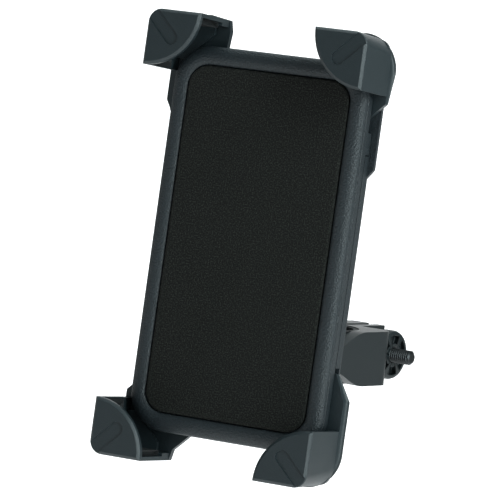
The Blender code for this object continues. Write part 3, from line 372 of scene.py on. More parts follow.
def gathered(*solids):
    """Several solids in one bmesh. The others are used up."""
    first = solids[0]
    for other in solids[1:]:
        mesh = bpy.data.meshes.new("gathered")
        other.to_mesh(mesh)
        other.free()
        first.from_mesh(mesh)
        bpy.data.meshes.remove(mesh)
    return first


def carved(body, tool, operation="DIFFERENCE"):
    """Body with the tool cut from it or joined to it. Both are used up."""
    things = []
    for solid in (body, tool):
        bmesh.ops.recalc_face_normals(solid, faces=solid.faces)
        mesh = bpy.data.meshes.new("carving")
        solid.to_mesh(mesh)
        solid.free()
        thing = bpy.data.objects.new("carving", mesh)
        bpy.context.scene.collection.objects.link(thing)
        things.append(thing)
    change = things[0].modifiers.new("carve", "BOOLEAN")
    change.operation = operation
    change.object = things[1]
    change.solver = "EXACT"
    change.use_self = True
    bpy.context.view_layer.update()
    bm = bmesh.new()
    bm.from_object(things[0], bpy.context.evaluated_depsgraph_get())
    for thing in things:
        bpy.data.meshes.remove(thing.data)
    bmesh.ops.remove_doubles(bm, verts=bm.verts, dist=2e-6)
    bmesh.ops.dissolve_degenerate(bm, edges=bm.edges, dist=2e-6)
    return bm


def piece(name, bm, body, slot, nodes=(), edge=None, segments=2, angle=32):
    """Finished object: it rides on a body, stands for CAD nodes, and has rounded edges."""
    edge = bpy.context.scene.mount_sizes.edge if edge is None else edge
    mesh = bpy.data.meshes.new(name)
    bm.to_mesh(mesh)
    bm.free()
    made = bpy.data.objects.new(name, mesh)
    bpy.context.scene.collection.objects.link(made)
    mesh.materials.append(finish(slot))
    mesh.shade_smooth()
    mesh.set_sharp_from_angle(angle=radians(angle))
    if edge:
        rounding = made.modifiers.new("rounding", "BEVEL")
        rounding.limit_method = "ANGLE"
        rounding.angle_limit = radians(angle)
        rounding.width = edge
        rounding.segments = segments
        rounding.harden_normals = True
    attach(made, body)
    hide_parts(*nodes)
    return made


def rounded_rectangle(half_x, half_z, fillet):
    return [(half_x, half_z, fillet), (-half_x, half_z, fillet), (-half_x, -half_z, fillet),
            (half_x, -half_z, fillet)]


# ---- plate --------------------------------------------------------------------------------
class MOUNT_OT_pad(bpy.types.Operator):
    """Foam pad let into the plate's face"""
    bl_idname = "mount.pad"
    bl_label = "Foam pad"

    def execute(self, context):
        sizes = context.scene.mount_sizes
        softening = [(0.0, PAD_HIGH.y), (0.0, 0.45 * MM), (0.12 * MM, 0.16 * MM), (0.4 * MM, 0.03 * MM),
                     (1.0 * MM, PAD_LOW.y)]
        spans = (PAD_HIGH.x, PAD_HIGH.z, sizes.pad_corner)
        sections = [(rounded_rectangle(*(span - inset for span in spans)), depth) for inset, depth in softening]
        pad = piece("pad_foam", loft(sections, 12), "plate", "pad", ["foam_pad"], edge=0)
        return {"FINISHED"}


def between_outlines(share, depth, inset=0.0):
    """Section of the border: share 0 is the plate's outline and 1 the pad's pocket."""
    sizes = bpy.context.scene.mount_sizes
    outer = (PLATE_X, PLATE_Z, sizes.plate_corner)
    pocket = (PAD_HIGH.x + sizes.pad_seam, PAD_HIGH.z + sizes.pad_seam, sizes.pad_corner + sizes.pad_seam)
    spans = [first + (second - first) * share - inset for first, second in zip(outer, pocket)]
    return rounded_rectangle(*spans), depth


def make_front_shell():
    sizes = bpy.context.scene.mount_sizes
    seam = BACK_LOW.y - 0.3 * MM
    crown_at = 0.6
    inner = [between_outlines(0, 3.9 * MM, COVER_WALL), between_outlines(0, seam, COVER_WALL)]
    side = [between_outlines(0, seam), between_outlines(0, 3.3 * MM),
            between_outlines(0, 3.15 * MM, 0.3 * MM), between_outlines(0, 2.85 * MM, 0.3 * MM),
            between_outlines(0, 2.7 * MM), between_outlines(0, sizes.crown + 0.45 * MM)]
    border = []
    for step in range(1, 9):
        share = crown_at * step / 8
        border.append(between_outlines(share, sizes.crown * (1 - step / 8) ** 2.2))
    for step in range(1, 6):
        share = crown_at + (0.93 - crown_at) * step / 5
        border.append(between_outlines(share, 0.45 * MM * (step / 5) ** 2))
    pocket = [between_outlines(1, 0.75 * MM), between_outlines(1, 2.3 * MM)]
    return loft(inner + side + border + pocket, 12)


def tongue(side):
    """Part of the front cover that closes the back cover's slot below a short claw base."""
    low_y = BACK_LOW.y - 0.4 * MM
    high_y = BACK_HIGH.y - 2.3 * MM
    low_x, high_x = PLATE_X - 1.95 * MM, PLATE_X - 0.05 * MM
    corners = [(low_x, low_y, 0), (high_x, low_y, 0), (high_x, high_y, 0), (low_x, high_y, 0)]
    bm = slab(corners, CORNER_Z - 36.6 * MM, CORNER_Z - 29.75 * MM)
    turn = Matrix(((side, 0, 0, 0), (0, 0, 1, 0), (0, side, 0, 0), (0, 0, 0, 1)))
    return moved(bm, turn)


def make_back_shell():
    seam = BACK_LOW.y
    inner = [between_outlines(0, depth, COVER_WALL) for depth in (PLATE_BACK - COVER_WALL, seam)]
    outer = [between_outlines(0, seam), between_outlines(0, PLATE_BACK - BACK_ROUND)]
    rounding = [between_outlines(0, PLATE_BACK - BACK_ROUND * (1 - sin(radians(turn))),
                                 BACK_ROUND * (1 - cos(radians(turn)))) for turn in (22, 45, 67, 90)]
    return loft(inner + outer + rounding, 12)


def slot_cutters():
    """Openings in the back cover for the claw arms, the lock's stem and the screws."""
    floor = PLATE_BACK - 1.95 * MM
    tools = []
    for side, end in CORNERS.values():
        ends = sorted((end * (CORNER_Z - 37 * MM), end * CORNER_Z))
        across = sorted((side * (PLATE_X - 11.8 * MM), side * CORNER_X))
        tools.append(block((across[0], 0, ends[0]), (across[1], floor, ends[1])))
        ends = sorted((end * (PLATE_Z - 4 * MM), end * CORNER_Z))
        across = sorted((side * 10.52 * MM, side * CORNER_X))
        tools.append(block((across[0], 0, ends[0]), (across[1], floor - 0.01 * MM, ends[1])))
    middle = (LOCK_LOW.z + LOCK_HIGH.z) / 2
    tools.append(block((-2.4 * MM, 0, middle - 4.1 * MM), (2.4 * MM, PLATE_BACK + MM, middle + 2.4 * MM)))
    for number in range(1, 7):
        low, high = (Vector(point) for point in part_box(f"cover_screw_{number}"))
        x, z = (low.x + high.x) / 2, (low.z + high.z) / 2
        tools.append(rod(2.5 * MM, (x, PLATE_BACK - 1.3 * MM, z), (x, PLATE_BACK + MM, z), 40))
    return gathered(*tools)


def shoulder(side):
    """Raised edge of the back cover beside a claw with a short base."""
    reach = 2 * MM
    low = CORNER_Z - 44 * MM
    corners = [(PLATE_X - 2 * MM, low, 0), (PLATE_X - 0.3 * MM, low, 0),
               (PLATE_X + reach, low + 1.5 * reach, 1.5 * MM), (PLATE_X + reach, CORNER_Z - 20 * MM, 2 * MM),
               (PLATE_X - 2 * MM, PLATE_Z - 5 * MM, 0), (PLATE_X - 4 * MM, PLATE_Z - 12 * MM, 0)]
    return slab([(side * x, side * z, fillet) for x, z, fillet in corners], PLATE_BACK - 1.95 * MM,
                PLATE_BACK - 0.3 * MM, 6)


class MOUNT_OT_covers(bpy.types.Operator):
    """Front and back covers of the plate"""
    bl_idname = "mount.covers"
    bl_label = "Covers"

    def execute(self, context):
        front = gathered(make_front_shell(), tongue(1), tongue(-1))
        bmesh.ops.recalc_face_normals(front, faces=front.faces)
        piece("shell_front", front, "plate", "cover", ["front_cover"], edge=0.12 * MM)
        back = carved(make_back_shell(), slot_cutters())
        for side in (-1, 1):
            back = carved(back, shoulder(side), "UNION")
        piece("shell_back", back, "plate", "cover", ["back_cover"], edge=0.15 * MM)
        return {"FINISHED"}


# ---- claws --------------------------------------------------------------------------------
def claw_place(side, end):
    """Matrix from (inward, depth, down) at a claw's corner to the plate."""
    return Matrix(((-side, 0, 0, side * CORNER_X), (0, 1, 0, 0), (0, 0, -end, end * CORNER_Z), (0, 0, 0, 1)))


def on_diagonal(along, across=0.0):
    return (along - across) / sqrt(2), (along + across) / sqrt(2)


def lip_outline(inset, fillet):
    """Quarter disc with a rounded corner, drawn in by an inset."""
    radius = LEG - inset
    start = degrees(asin(inset / radius))
    return [(inset, inset, fillet)] + arc((0, 0), radius, start, 90 - start, 28)


def make_cap():
    sizes = bpy.context.scene.mount_sizes
    front, back = CAP_LOW.y, CAP_HIGH.y - 0.15 * MM
    skin = sizes.skin
    cap = loft([(lip_outline(sizes.lip_margin, sizes.claw_corner - sizes.lip_margin), front),
                (lip_outline(0.25 * MM, sizes.claw_corner - 0.25 * MM), front + sizes.lip_slope),
                (lip_outline(0, sizes.claw_corner), front + sizes.lip_slope + 0.3 * MM),
                (lip_outline(0, sizes.seam_corner), back)], 12)
    wide = 2 * LEG
    bay = [[(skin, skin, fillet), (wide, skin, 0), (wide, wide, 0), (skin, wide, 0)]
           for fillet in (sizes.claw_corner - skin, sizes.seam_corner - skin)]
    cap = carved(cap, loft([(bay[0], front + sizes.lip_thick), (bay[1], back + MM)], 10))
    half = sizes.flute_width / 2
    flute = [(*on_diagonal(-2 * MM, -half), 0), (*on_diagonal(sizes.flute_length, -half), half * 0.98),
             (*on_diagonal(sizes.flute_length, half), half * 0.98), (*on_diagonal(-2 * MM, half), 0)]
    cap = carved(cap, slab(flute, front - MM, front + sizes.flute_depth, 16))
    step = skin / 3
    web = slab([(step, step, 4 * MM), (14 * MM, step, 0), (14 * MM, 5.2 * MM, 0), (5.2 * MM, 13.8 * MM, 0),
                (step, 13.8 * MM, 0)], back - 1.5 * MM, back - 0.05 * MM)
    return carved(cap, web, "UNION")


def leg(outer, outer_fillet, inner, inner_fillet, reach):
    """L-shaped wall between two offsets from a claw's outer faces."""
    return [(outer, outer, outer_fillet), (reach, outer, 0), (reach, inner, 0), (inner, inner, inner_fillet),
            (inner, reach, 0), (outer, reach, 0)]


def make_liner():
    """Soft lining of both walls, with a window sunk into each inner face."""
    outer = CORNER_X - LINER_HIGH.x
    inner = outer + 1.7 * MM
    bm = slab(leg(outer, 2.7 * MM, inner, 2.1 * MM, LEG - 0.3 * MM), LINER_LOW.y, LINER_HIGH.y, 8)
    bmesh.ops.recalc_face_normals(bm, faces=bm.faces)
    inside = [face for face in bm.faces if max(face.normal.x, face.normal.z) > 0.999
              and face.calc_area() > 60 * MM * MM]
    ends = [face for face in bm.faces if max(face.normal.x, face.normal.z) > 0.999
            and 15 * MM * MM < face.calc_area() < 30 * MM * MM]
    bmesh.ops.inset_individual(bm, faces=inside, thickness=1.5 * MM, depth=-0.7 * MM)
    bmesh.ops.inset_individual(bm, faces=ends, thickness=0.35 * MM, depth=-1.6 * MM)
    return bm


def rack(level):
    """Notches in the level edge of an arm, for the lock's teeth."""
    side = RACK_SIDE / sqrt(2)
    points = []
    for number in range(RACK_NOTCHES):
        down = RACK_FIRST + number * side
        points += [(level + down, down, 0), (level + down, down + side, 0)]
    return points


def arm_outline(long_base):
    level = LEVEL_SIDE * sqrt(2)
    upright = UPRIGHT_SIDE * sqrt(2)
    points = [(LEG, 0, 0), (LEG + 0.8 * MM, 3.5 * MM, 0)]
    step = 9.25 * MM if long_base else 7.95 * MM
    if long_base:
        points += [(LEG + 0.3 * MM, step, 0)]
    points += [(step + level, step, 0)] + rack(level)
    points += [(*on_diagonal(ARM_END, -5 * MM), MM), (*on_diagonal(ARM_END, 5 * MM), MM),
               (*on_diagonal(ARM_END - 8 * MM, UPRIGHT_SIDE), 0)]
    if long_base:
        points += [(3.6 * MM, 35.3 * MM, 0), (0, 26.8 * MM, 0.8 * MM)]
    else:
        points += [(2 * MM, upright + 2 * MM, 0), (0, upright, 0)]
    return [(0, 0, bpy.context.scene.mount_sizes.base_corner)] + points


def make_arm(long_base):
    """Base plate, its wall, and the arm that slides in the plate."""
    sizes = bpy.context.scene.mount_sizes
    front, back = ARM_LOW.y, ARM_HIGH.y
    plate_y = back - BASE_THICK
    bm = slab(arm_outline(long_base), plate_y, back, 16)
    outer = [edge for edge in bm.edges
             if all(vert.co.y > back - 1e-6 for vert in edge.verts)
             and (all(abs(vert.co.x) < 1e-6 for vert in edge.verts)
                  or all(abs(vert.co.z) < 1e-6 for vert in edge.verts)
                  or all(max(vert.co.x, vert.co.z) < sizes.base_corner + 1e-6 for vert in edge.verts)
                  or all(vert.co.x < 4 * MM and vert.co.z > 25 * MM for vert in edge.verts))]
    bmesh.ops.bevel(bm, geom=outer, offset=BASE_ROUND, segments=3, profile=0.5, affect="EDGES", material=-1)
    rows = ((sizes.seam_corner, front + 0.2 * MM),
            ((sizes.seam_corner + sizes.base_corner) / 2, (front + plate_y) / 2),
            (sizes.base_corner, plate_y + 0.3 * MM))
    skin = [(leg(0.03 * MM, fillet, BASE_WALL, fillet - 2 * MM, LEG - 0.05 * MM), depth)
            for fillet, depth in rows]
    bm = carved(bm, loft(skin, 16), "UNION")
    start, end = ARM_SLOT
    slot = [(*on_diagonal(start, -ARM_SLOT_HALF), MM), (*on_diagonal(end, -ARM_SLOT_HALF), 0.6 * MM),
            (*on_diagonal(end, ARM_SLOT_HALF), 0.6 * MM), (*on_diagonal(start, ARM_SLOT_HALF), MM)]
    return carved(bm, slab(slot, 0, PLATE_BACK, 4))


class MOUNT_OT_claws(bpy.types.Operator):
    """Four corner claws: cap, lining, base with its arm"""
    bl_idname = "mount.claws"
    bl_label = "Claws"

    def execute(self, context):
        cap = make_cap()
        liner = make_liner()
        arms = {True: make_arm(True), False: make_arm(False)}
        for label, (side, end) in CORNERS.items():
            place = claw_place(side, end)
            body = f"claw_{label}"
            piece(f"cap_{label}", moved(cap.copy(), place), body, "claw", [f"{body}_cap"], 0.14 * MM)
            piece(f"lining_{label}", moved(liner.copy(), place), body, "rubber", [f"{body}_liner"],
                  0.15 * MM)
            arm = moved(arms[side * end < 0].copy(), place)
            piece(f"base_{label}", arm, body, "claw", [f"{body}_arm"], 0.18 * MM)
        for solid in (cap, liner, *arms.values()):
            solid.free()
        return {"FINISHED"}


# ---- screws -------------------------------------------------------------------------------
def make_screw(head_y, tip_y):
    """Pan-head screw along Y with a cross recess; its head's outer face is at head_y."""
    head = 2.2 * MM
    profile = [(0, head_y), (head * 0.55, head_y), (head * 0.85, head_y - 0.15 * MM),
               (head, head_y - 0.45 * MM), (head, head_y - 1 * MM), (1.1 * MM, head_y - 1 * MM),
               (1.1 * MM, tip_y + 0.8 * MM), (0.5 * MM, tip_y), (0, tip_y)]
    screw = turned(profile, 40)
    for across in ((1.25 * MM, 0.3 * MM), (0.3 * MM, 1.25 * MM)):
        screw = carved(screw, block((-across[0], head_y - 0.7 * MM, -across[1]),
                                    (across[0], head_y + MM, across[1])))
    return screw


class MOUNT_OT_screws(bpy.types.Operator):
    """Screws of the covers, the socket and the claws"""
    bl_idname = "mount.screws"
    bl_label = "Screws"

    def execute(self, context):
        groups = [(f"cover_screw_{number}", "plate") for number in range(1, 7)]
        groups += [(f"socket_screw_{number}", "plate") for number in range(1, 5)]
        groups += [(f"claw_{label}_screw", f"claw_{label}") for label in CORNERS]
        shared = {}
        for node, body in groups:
            low, high = (Vector(point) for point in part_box(node))
            kind = node.rstrip("0123456789") if body == "plate" else "claw"
            if kind not in shared:
                shared[kind] = make_screw(high.y, low.y)
            middle = Matrix.Translation(((low.x + high.x) / 2, 0, (low.z + high.z) / 2))
            piece(f"{node}_cross_head", moved(shared[kind].copy(), middle), body, "black_steel", [node],
                  0.06 * MM)
        for solid in shared.values():
            solid.free()
        return {"FINISHED"}


# ---- lock ---------------------------------------------------------------------------------
class MOUNT_OT_lock(bpy.types.Operator):
    """Lock slider on the back of the plate"""
    bl_idname = "mount.lock"
    bl_label = "Lock slider"

    def execute(self, context):
        middle = (LOCK_LOW.z + LOCK_HIGH.z) / 2
        half_x, half_z = LOCK_HIGH.x, (LOCK_HIGH.z - LOCK_LOW.z) / 2
        base = LOCK_HIGH.y - 2 * MM
        wide = rounded_rectangle(half_x, half_z, 1.5 * MM)
        narrow = rounded_rectangle(half_x - 0.5 * MM, half_z - 0.5 * MM, 1.1 * MM)
        button = loft([(wide, base), (wide, base + 1.0 * MM), (narrow, base + 1.6 * MM)], 6)
        ridges = [block((-half_x * 0.7, base + MM, row * 1.5 * MM - 0.35 * MM),
                        (half_x * 0.7, LOCK_HIGH.y, row * 1.5 * MM + 0.35 * MM)) for row in (-2, -1, 0, 1, 2)]
        stem = block((-2 * MM, LOCK_LOW.y, -2 * MM), (2 * MM, base + 0.5 * MM, 2 * MM))
        bm = carved(button, gathered(*ridges, stem), "UNION")
        button = moved(bm, Matrix.Translation((0, 0, middle)))
        piece("slider_button", button, "lock", "cover", ["lock_slider"], 0.15 * MM)
        return {"FINISHED"}


# ---- ball joint ---------------------------------------------------------------------------
def ball_arc(radius, low, high, steps=14):
    """(radius, y) points on a sphere about the ball's centre, between two heights along Y."""
    first, last = asin(low / radius), asin(high / radius)
    angles = [first + (last - first) * step / steps for step in range(steps + 1)]
    return [(radius * cos(angle), radius * sin(angle)) for angle in angles]


class MOUNT_OT_ball_joint(bpy.types.Operator):
    """Ball socket and its collar nut"""
    bl_idname = "mount.ball_joint"
    bl_label = "Ball joint"

    def execute(self, context):
        floor = PLATE_BACK + 0.3 * MM - BALL.y
        flange = floor + 2 * MM
        mouth = MM
        profile = [(0, floor), (SOCKET_FLANGE, floor), (SOCKET_FLANGE, flange - 0.5 * MM),
                   (SOCKET_FLANGE - 0.5 * MM, flange), (SOCKET_CUP + 0.6 * MM, flange),
                   (SOCKET_CUP, flange + 0.2 * MM), (SOCKET_CUP, mouth), (BALL_BORE, mouth)]
        profile += ball_arc(BALL_BORE, floor + 1.2 * MM, 0)[::-1] + [(0, floor + 1.2 * MM)]
        socket = turned(profile, 96)
        ears = []
        holes = []
        for number in range(1, 5):
            low, high = (Vector(point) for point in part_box(f"socket_screw_{number}"))
            x, z = (low.x + high.x) / 2, (low.z + high.z) / 2 - BALL.z
            ears.append(rod(3.5 * MM, (x, floor + 0.05 * MM, z), (x, flange - 0.05 * MM, z), 40))
            holes.append(rod(1.4 * MM, (x, floor - MM, z), (x, flange + MM, z), 24))
        socket = carved(carved(socket, gathered(*ears), "UNION"), gathered(*holes))
        place = Matrix.Translation(BALL)
        piece("socket_flange", moved(socket, place), "plate", "cover", ["ball_socket"], 0.2 * MM)

        low, high = (Vector(point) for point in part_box("collar_nut"))
        outside = high.x - BALL.x
        start, end = low.y - BALL.y, high.y - BALL.y
        inside = SOCKET_CUP + 0.3 * MM
        profile = [(inside, start), (outside - 0.6 * MM, start), (outside, start + 0.6 * MM),
                   (outside, end - 1.6 * MM), (outside - 0.5 * MM, end - 0.5 * MM), (outside - 1.6 * MM, end)]
        profile += ball_arc(BALL_BORE, mouth + 0.7 * MM, end)[::-1] + [(inside, mouth + 0.7 * MM)]
        collar = turned(profile, 120)
        grips = []
        for number in range(COLLAR_GRIPS):
            angle = 2 * pi * number / COLLAR_GRIPS
            x, z = (outside + 0.9 * MM) * cos(angle), (outside + 0.9 * MM) * sin(angle)
            grips.append(capsule(1.7 * MM, (x, start + 1.2 * MM, z), (x, end + 3 * MM, z), 24))
        piece("collar_grip", moved(carved(collar, gathered(*grips)), place), "collar", "claw", ["collar_nut"],
              0.25 * MM)
        return {"FINISHED"}


# ---- clamp --------------------------------------------------------------------------------
# ON_EDGE turns an outline's Z into the clamp's Y, ALONG_BOLT a turning axis into the clamp's X
ON_EDGE = Matrix(((1, 0, 0, 0), (0, 0, 1, 0), (0, 1, 0, 0), (0, 0, 0, 1)))
ALONG_BOLT = Matrix(((0, 1, 0, 0), (-1, 0, 0, 0), (0, 0, 1, 0), (0, 0, 0, 1)))
BAR_Y = 30 * MM
BORE = 14.5 * MM
HALF = 19 * MM
WIDTH_HALF = 8.8 * MM
EAR_HALF_GAP = 1.5 * MM
EAR_END = BOLT_Y + 5 * MM
KNUCKLE = 4 * MM
KNUCKLE_HALF = 4.6 * MM
JAW_EAR = 3.5 * MM           # thickness of the ears at the bolt
BODY_EAR = 7 * MM
PIN_HOLE = 1.62 * MM
BOLT_SLOT = (3.7 * MM, 2.8 * MM, 2.7 * MM)   # half length, half height and corner in the jaw's ear
BALL_RADIUS = 7 * MM
STEM_RADIUS = 3.5 * MM
KNOB_BORE = 2.52 * MM        # also the washer's


def clamp_slab(corners, low=-WIDTH_HALF, high=WIDTH_HALF, segments=8):
    """Outline in the clamp's XY plane, extruded along its Z."""
    return moved(slab(corners, low, high, segments), ON_EDGE)


def jaw_corners():
    far = BAR_Y + HALF
    top = sqrt(BORE ** 2 - EAR_HALF_GAP ** 2)
    ear_x = EAR_HALF_GAP + JAW_EAR
    start = degrees(atan2(top, EAR_HALF_GAP))
    corners = [(EAR_HALF_GAP, BAR_Y + top, 0), (EAR_HALF_GAP, EAR_END, MM), (ear_x, EAR_END, MM),
               (ear_x, far, 1.5 * MM), (HALF, far, 6 * MM), (HALF, HINGE.y, 0)]
    corners += arc((HINGE.x, HINGE.y), KNUCKLE, 350, 135, 24)
    return corners + arc((0, BAR_Y), BORE, -40, start - 3, 40)


def jaw_taper(side):
    """Cutter that narrows the jaw towards its hinge along a curve."""
    wide = BAR_Y + 3 * MM
    narrow = HINGE.y + KNUCKLE + MM
    edge = []
    for step in range(17):
        share = step / 16
        rise = (WIDTH_HALF - KNUCKLE_HALF) * sin(pi / 2 * share) ** 1.2
        edge.append((narrow + (wide - narrow) * share, side * (KNUCKLE_HALF + rise), 0))
    corners = [(0, side * KNUCKLE_HALF, 0)] + edge + [(wide, side * 12 * MM, 0), (0, side * 12 * MM, 0)]
    across = Matrix(((0, 1, 0, 0), (1, 0, 0, 0), (0, 0, 1, 0), (0, 0, 0, 1)))
    return moved(slab(corners, -20 * MM, 30 * MM), across)


def make_jaw():
    bm = clamp_slab(jaw_corners())
    bmesh.ops.recalc_face_normals(bm, faces=bm.faces)
    for side in (-1, 1):
        bm = carved(bm, jaw_taper(side))
    hole = rod(PIN_HOLE, (HINGE.x, HINGE.y, -WIDTH_HALF), (HINGE.x, HINGE.y, WIDTH_HALF))
    half_length, half_height, fillet = BOLT_SLOT
    long_slot = [(height, along, fillet) for along, height in
                 ((half_length, half_height), (-half_length, half_height),
                  (-half_length, -half_height), (half_length, -half_height))]
    cutter = slab(long_slot, 0.5 * MM, 7 * MM, 8)
    face_on = Matrix(((0, 1, 0, 0), (0, 0, 1, BOLT_Y), (1, 0, 0, 0), (0, 0, 0, 1)))
    return carved(carved(bm, hole), moved(cutter, face_on))


def body_corners():
    far, near = BAR_Y + HALF, BAR_Y - HALF
    ear_x = -EAR_HALF_GAP - BODY_EAR
    end_x = HINGE.x - KNUCKLE - 0.8 * MM
    top = sqrt(BORE ** 2 - EAR_HALF_GAP ** 2)
    start = 180 - degrees(atan2(top, EAR_HALF_GAP))
    corners = [(-EAR_HALF_GAP, BAR_Y + top, 0), (-EAR_HALF_GAP, EAR_END, MM), (ear_x, EAR_END, MM),
               (ear_x, far, 1.5 * MM), (-HALF, far, 6 * MM), (-HALF, near, 7 * MM), (end_x, near, 0),
               (end_x, HINGE.y + MM, 0)]
    return corners + arc((0, BAR_Y), BORE, 303, start + 3, 56)


def make_clamp_body():
    near = BAR_Y - HALF
    bm = clamp_slab(body_corners())
    bmesh.ops.recalc_face_normals(bm, faces=bm.faces)
    lug = arc((HINGE.x, HINGE.y), KNUCKLE, -90, 110, 24)
    lug += [(HINGE.x - 6.6 * MM, HINGE.y + 1.6 * MM, 0), (HINGE.x - 8 * MM, near, 0)]
    for side in (-1, 1):
        low, high = sorted((side * (KNUCKLE_HALF + 0.4 * MM), side * (WIDTH_HALF - 0.05 * MM)))
        bm = carved(bm, clamp_slab(lug, low, high), "UNION")
    top = sqrt(BALL_RADIUS ** 2 - STEM_RADIUS ** 2)
    neck = [(0, -BALL_RADIUS)] + ball_arc(BALL_RADIUS, -BALL_RADIUS * 0.995, top, 40)
    neck += [(STEM_RADIUS, near - 2 * MM), (STEM_RADIUS + 0.5 * MM, near - 1.2 * MM),
             (STEM_RADIUS + 2.6 * MM, near + 0.5 * MM), (0, near + 0.5 * MM)]
    bm = carved(bm, turned(neck, 72), "UNION")
    hole = rod(PIN_HOLE, (HINGE.x, HINGE.y, -WIDTH_HALF - MM), (HINGE.x, HINGE.y, WIDTH_HALF + MM))
    ear_x = -EAR_HALF_GAP - BODY_EAR
    bolt_hole = rod(2.7 * MM, (ear_x - MM, BOLT_Y, 0), (0, BOLT_Y, 0))
    pocket = rod(4.12 * MM * 2 / sqrt(3), (ear_x - MM, BOLT_Y, 0), (ear_x + 3.8 * MM, BOLT_Y, 0), 6)
    return carved(bm, gathered(hole, bolt_hole, pocket))


def bar_liner(start, end):
    """Rubber lining of the bore, grooved along the bar."""
    outer = BORE - 0.3 * MM
    inner = outer - 1.5 * MM
    steps = round((end - start) / 2.5)
    inside = []
    for number, (x, y, _) in enumerate(arc((0, 0), 1, end, start, steps)):
        radius = inner + (0.35 * MM if number % 4 == 2 else 0)
        inside.append((radius * x, BAR_Y + radius * y, 0))
    half = WIDTH_HALF - 0.25 * MM
    return clamp_slab(arc((0, BAR_Y), outer, start, end, steps) + inside, -half, half)


def make_bolt():
    """Hexagon-head bolt along the clamp's X, with a cut thread and a chamfered end."""
    sizes = bpy.context.scene.mount_sizes
    head_x = -EAR_HALF_GAP - 6.7 * MM
    head_end = head_x + 3.2 * MM
    crest, root = 2.4 * MM, 2.02 * MM
    tip = 20.1 * MM
    thread_from = 3 * MM
    head = turned([(0, head_x), (3.6 * MM, head_x), (4.62 * MM, head_x + 0.5 * MM), (4.62 * MM, head_end),
                   (0, head_end)], 6)
    core = turned([(0, head_end - MM), (crest, head_end - MM), (crest, thread_from),
                   (root, thread_from + 0.4 * MM), (root, tip - 0.35 * MM), (root - 0.5 * MM, tip),
                   (0, tip)], 48)
    turns = int((tip - 0.5 * MM - thread_from - 0.4 * MM) / sizes.thread_pitch)
    steps = 36
    thread = bmesh.new()
    start = thread_from + 0.3 * MM
    foot = root - 0.03 * MM
    ridge = [thread.verts.new((radius, start + share * sizes.thread_pitch, 0))
             for radius, share in ((foot, 0.06), (crest, 0.42), (crest, 0.58), (foot, 0.94))]
    edges = [thread.edges.new(pair) for pair in zip(ridge, ridge[1:])]
    closing = thread.edges.new((ridge[-1], ridge[0]))
    first = thread.faces.new(ridge)
    bmesh.ops.spin(thread, geom=[*ridge, *edges, closing], axis=(0, 1, 0), cent=(0, 0, 0),
                   dvec=(0, sizes.thread_pitch / steps, 0), angle=2 * pi * turns, steps=steps * turns)
    open_edges = [edge for edge in thread.edges if edge.is_boundary]
    bmesh.ops.holes_fill(thread, edges=open_edges, sides=4)
    bmesh.ops.recalc_face_normals(thread, faces=thread.faces)
    bolt = gathered(head, core, thread)
    return moved(bolt, Matrix.Translation((0, BOLT_Y, 0)) @ ALONG_BOLT)


def make_knob():
    """Round knob with pockets between ribs round its hub."""
    sizes = bpy.context.scene.mount_sizes
    inner, outer = 6.7 * MM, 12.7 * MM
    rim = 8.1 * MM
    profile = [(KNOB_BORE, inner), (rim - 2.2 * MM, inner), (rim - 0.8 * MM, inner + 0.5 * MM),
               (rim, inner + 1.7 * MM), (rim, outer - 1.2 * MM), (rim - 0.35 * MM, outer - 0.35 * MM),
               (rim - 1.2 * MM, outer), (KNOB_BORE, outer)]
    knob = turned(profile, 96)
    hub = KNOB_BORE + 1.4 * MM
    edge = rim - 1.6 * MM
    pitch = 360 / sizes.knob_pockets
    pockets = []
    for number in range(sizes.knob_pockets):
        start = number * pitch + 8
        end = start + pitch - 16
        corners = arc((0, 0), edge, start, end, 10) + arc((0, 0), hub, end, start, 8)
        pockets.append(slab(corners, outer - 1.7 * MM, outer + MM))
    knob = carved(knob, gathered(*pockets))
    nut_pocket = turned([(0, inner - MM), (4.76 * MM, inner - MM), (4.76 * MM, inner + 3.9 * MM),
                         (0, inner + 3.9 * MM)], 6)
    return moved(carved(knob, nut_pocket), Matrix.Translation((0, BOLT_Y, 0)) @ ALONG_BOLT)


class MOUNT_OT_clamp(bpy.types.Operator):
    """Bar clamp: body with its ball, jaw, liners, bolt, washer, knob and pin"""
    bl_idname = "mount.clamp"
    bl_label = "Clamp"

    def execute(self, context):
        piece("clamp_frame_half", moved(make_clamp_body(), CLAMP), "clamp", "clamp", ["clamp_body"],
              0.35 * MM)
        piece("clamp_jaw_half", moved(make_jaw(), CLAMP), "jaw", "clamp", ["clamp_jaw"], 0.4 * MM)
        for name, body, span in (("bar_liner_left", "clamp", (98, 300)),
                                 ("bar_liner_right", "jaw", (-37, 82))):
            piece(f"{name}_grooved", moved(bar_liner(*span), CLAMP), body, "rubber", [name], 0.08 * MM)
        piece("bolt_threaded", moved(make_bolt(), CLAMP), "clamp", "black_steel", ["clamp_bolt"], 0.05 * MM)
        piece("knob_ribbed", moved(make_knob(), CLAMP), "knob", "clamp", ["clamp_knob"], 0.2 * MM)
        inner, outer = 5.4 * MM, 6.4 * MM
        washer = turned([(KNOB_BORE, inner), (5 * MM, inner), (5 * MM, outer), (KNOB_BORE, outer)], 64)
        washer = moved(washer, CLAMP @ Matrix.Translation((0, BOLT_Y, 0)) @ ALONG_BOLT)
        piece("washer_flat", washer, "washer", "zinc", ["clamp_washer"], 0.1 * MM)
        reach = WIDTH_HALF + 0.2 * MM
        pin = turned([(0, -reach), (1.2 * MM, -reach), (1.5 * MM, 0.3 * MM - reach),
                      (1.5 * MM, reach - 0.3 * MM), (1.2 * MM, reach), (0, reach)], 40)
        pin = moved(pin, CLAMP @ Matrix.Translation((HINGE.x, HINGE.y, 0)) @ Matrix.Rotation(pi / 2, 4, "X"))
        piece("pin_pressed", pin, "clamp", "black_steel", ["hinge_pin"], 0.05 * MM)
        return {"FINISHED"}


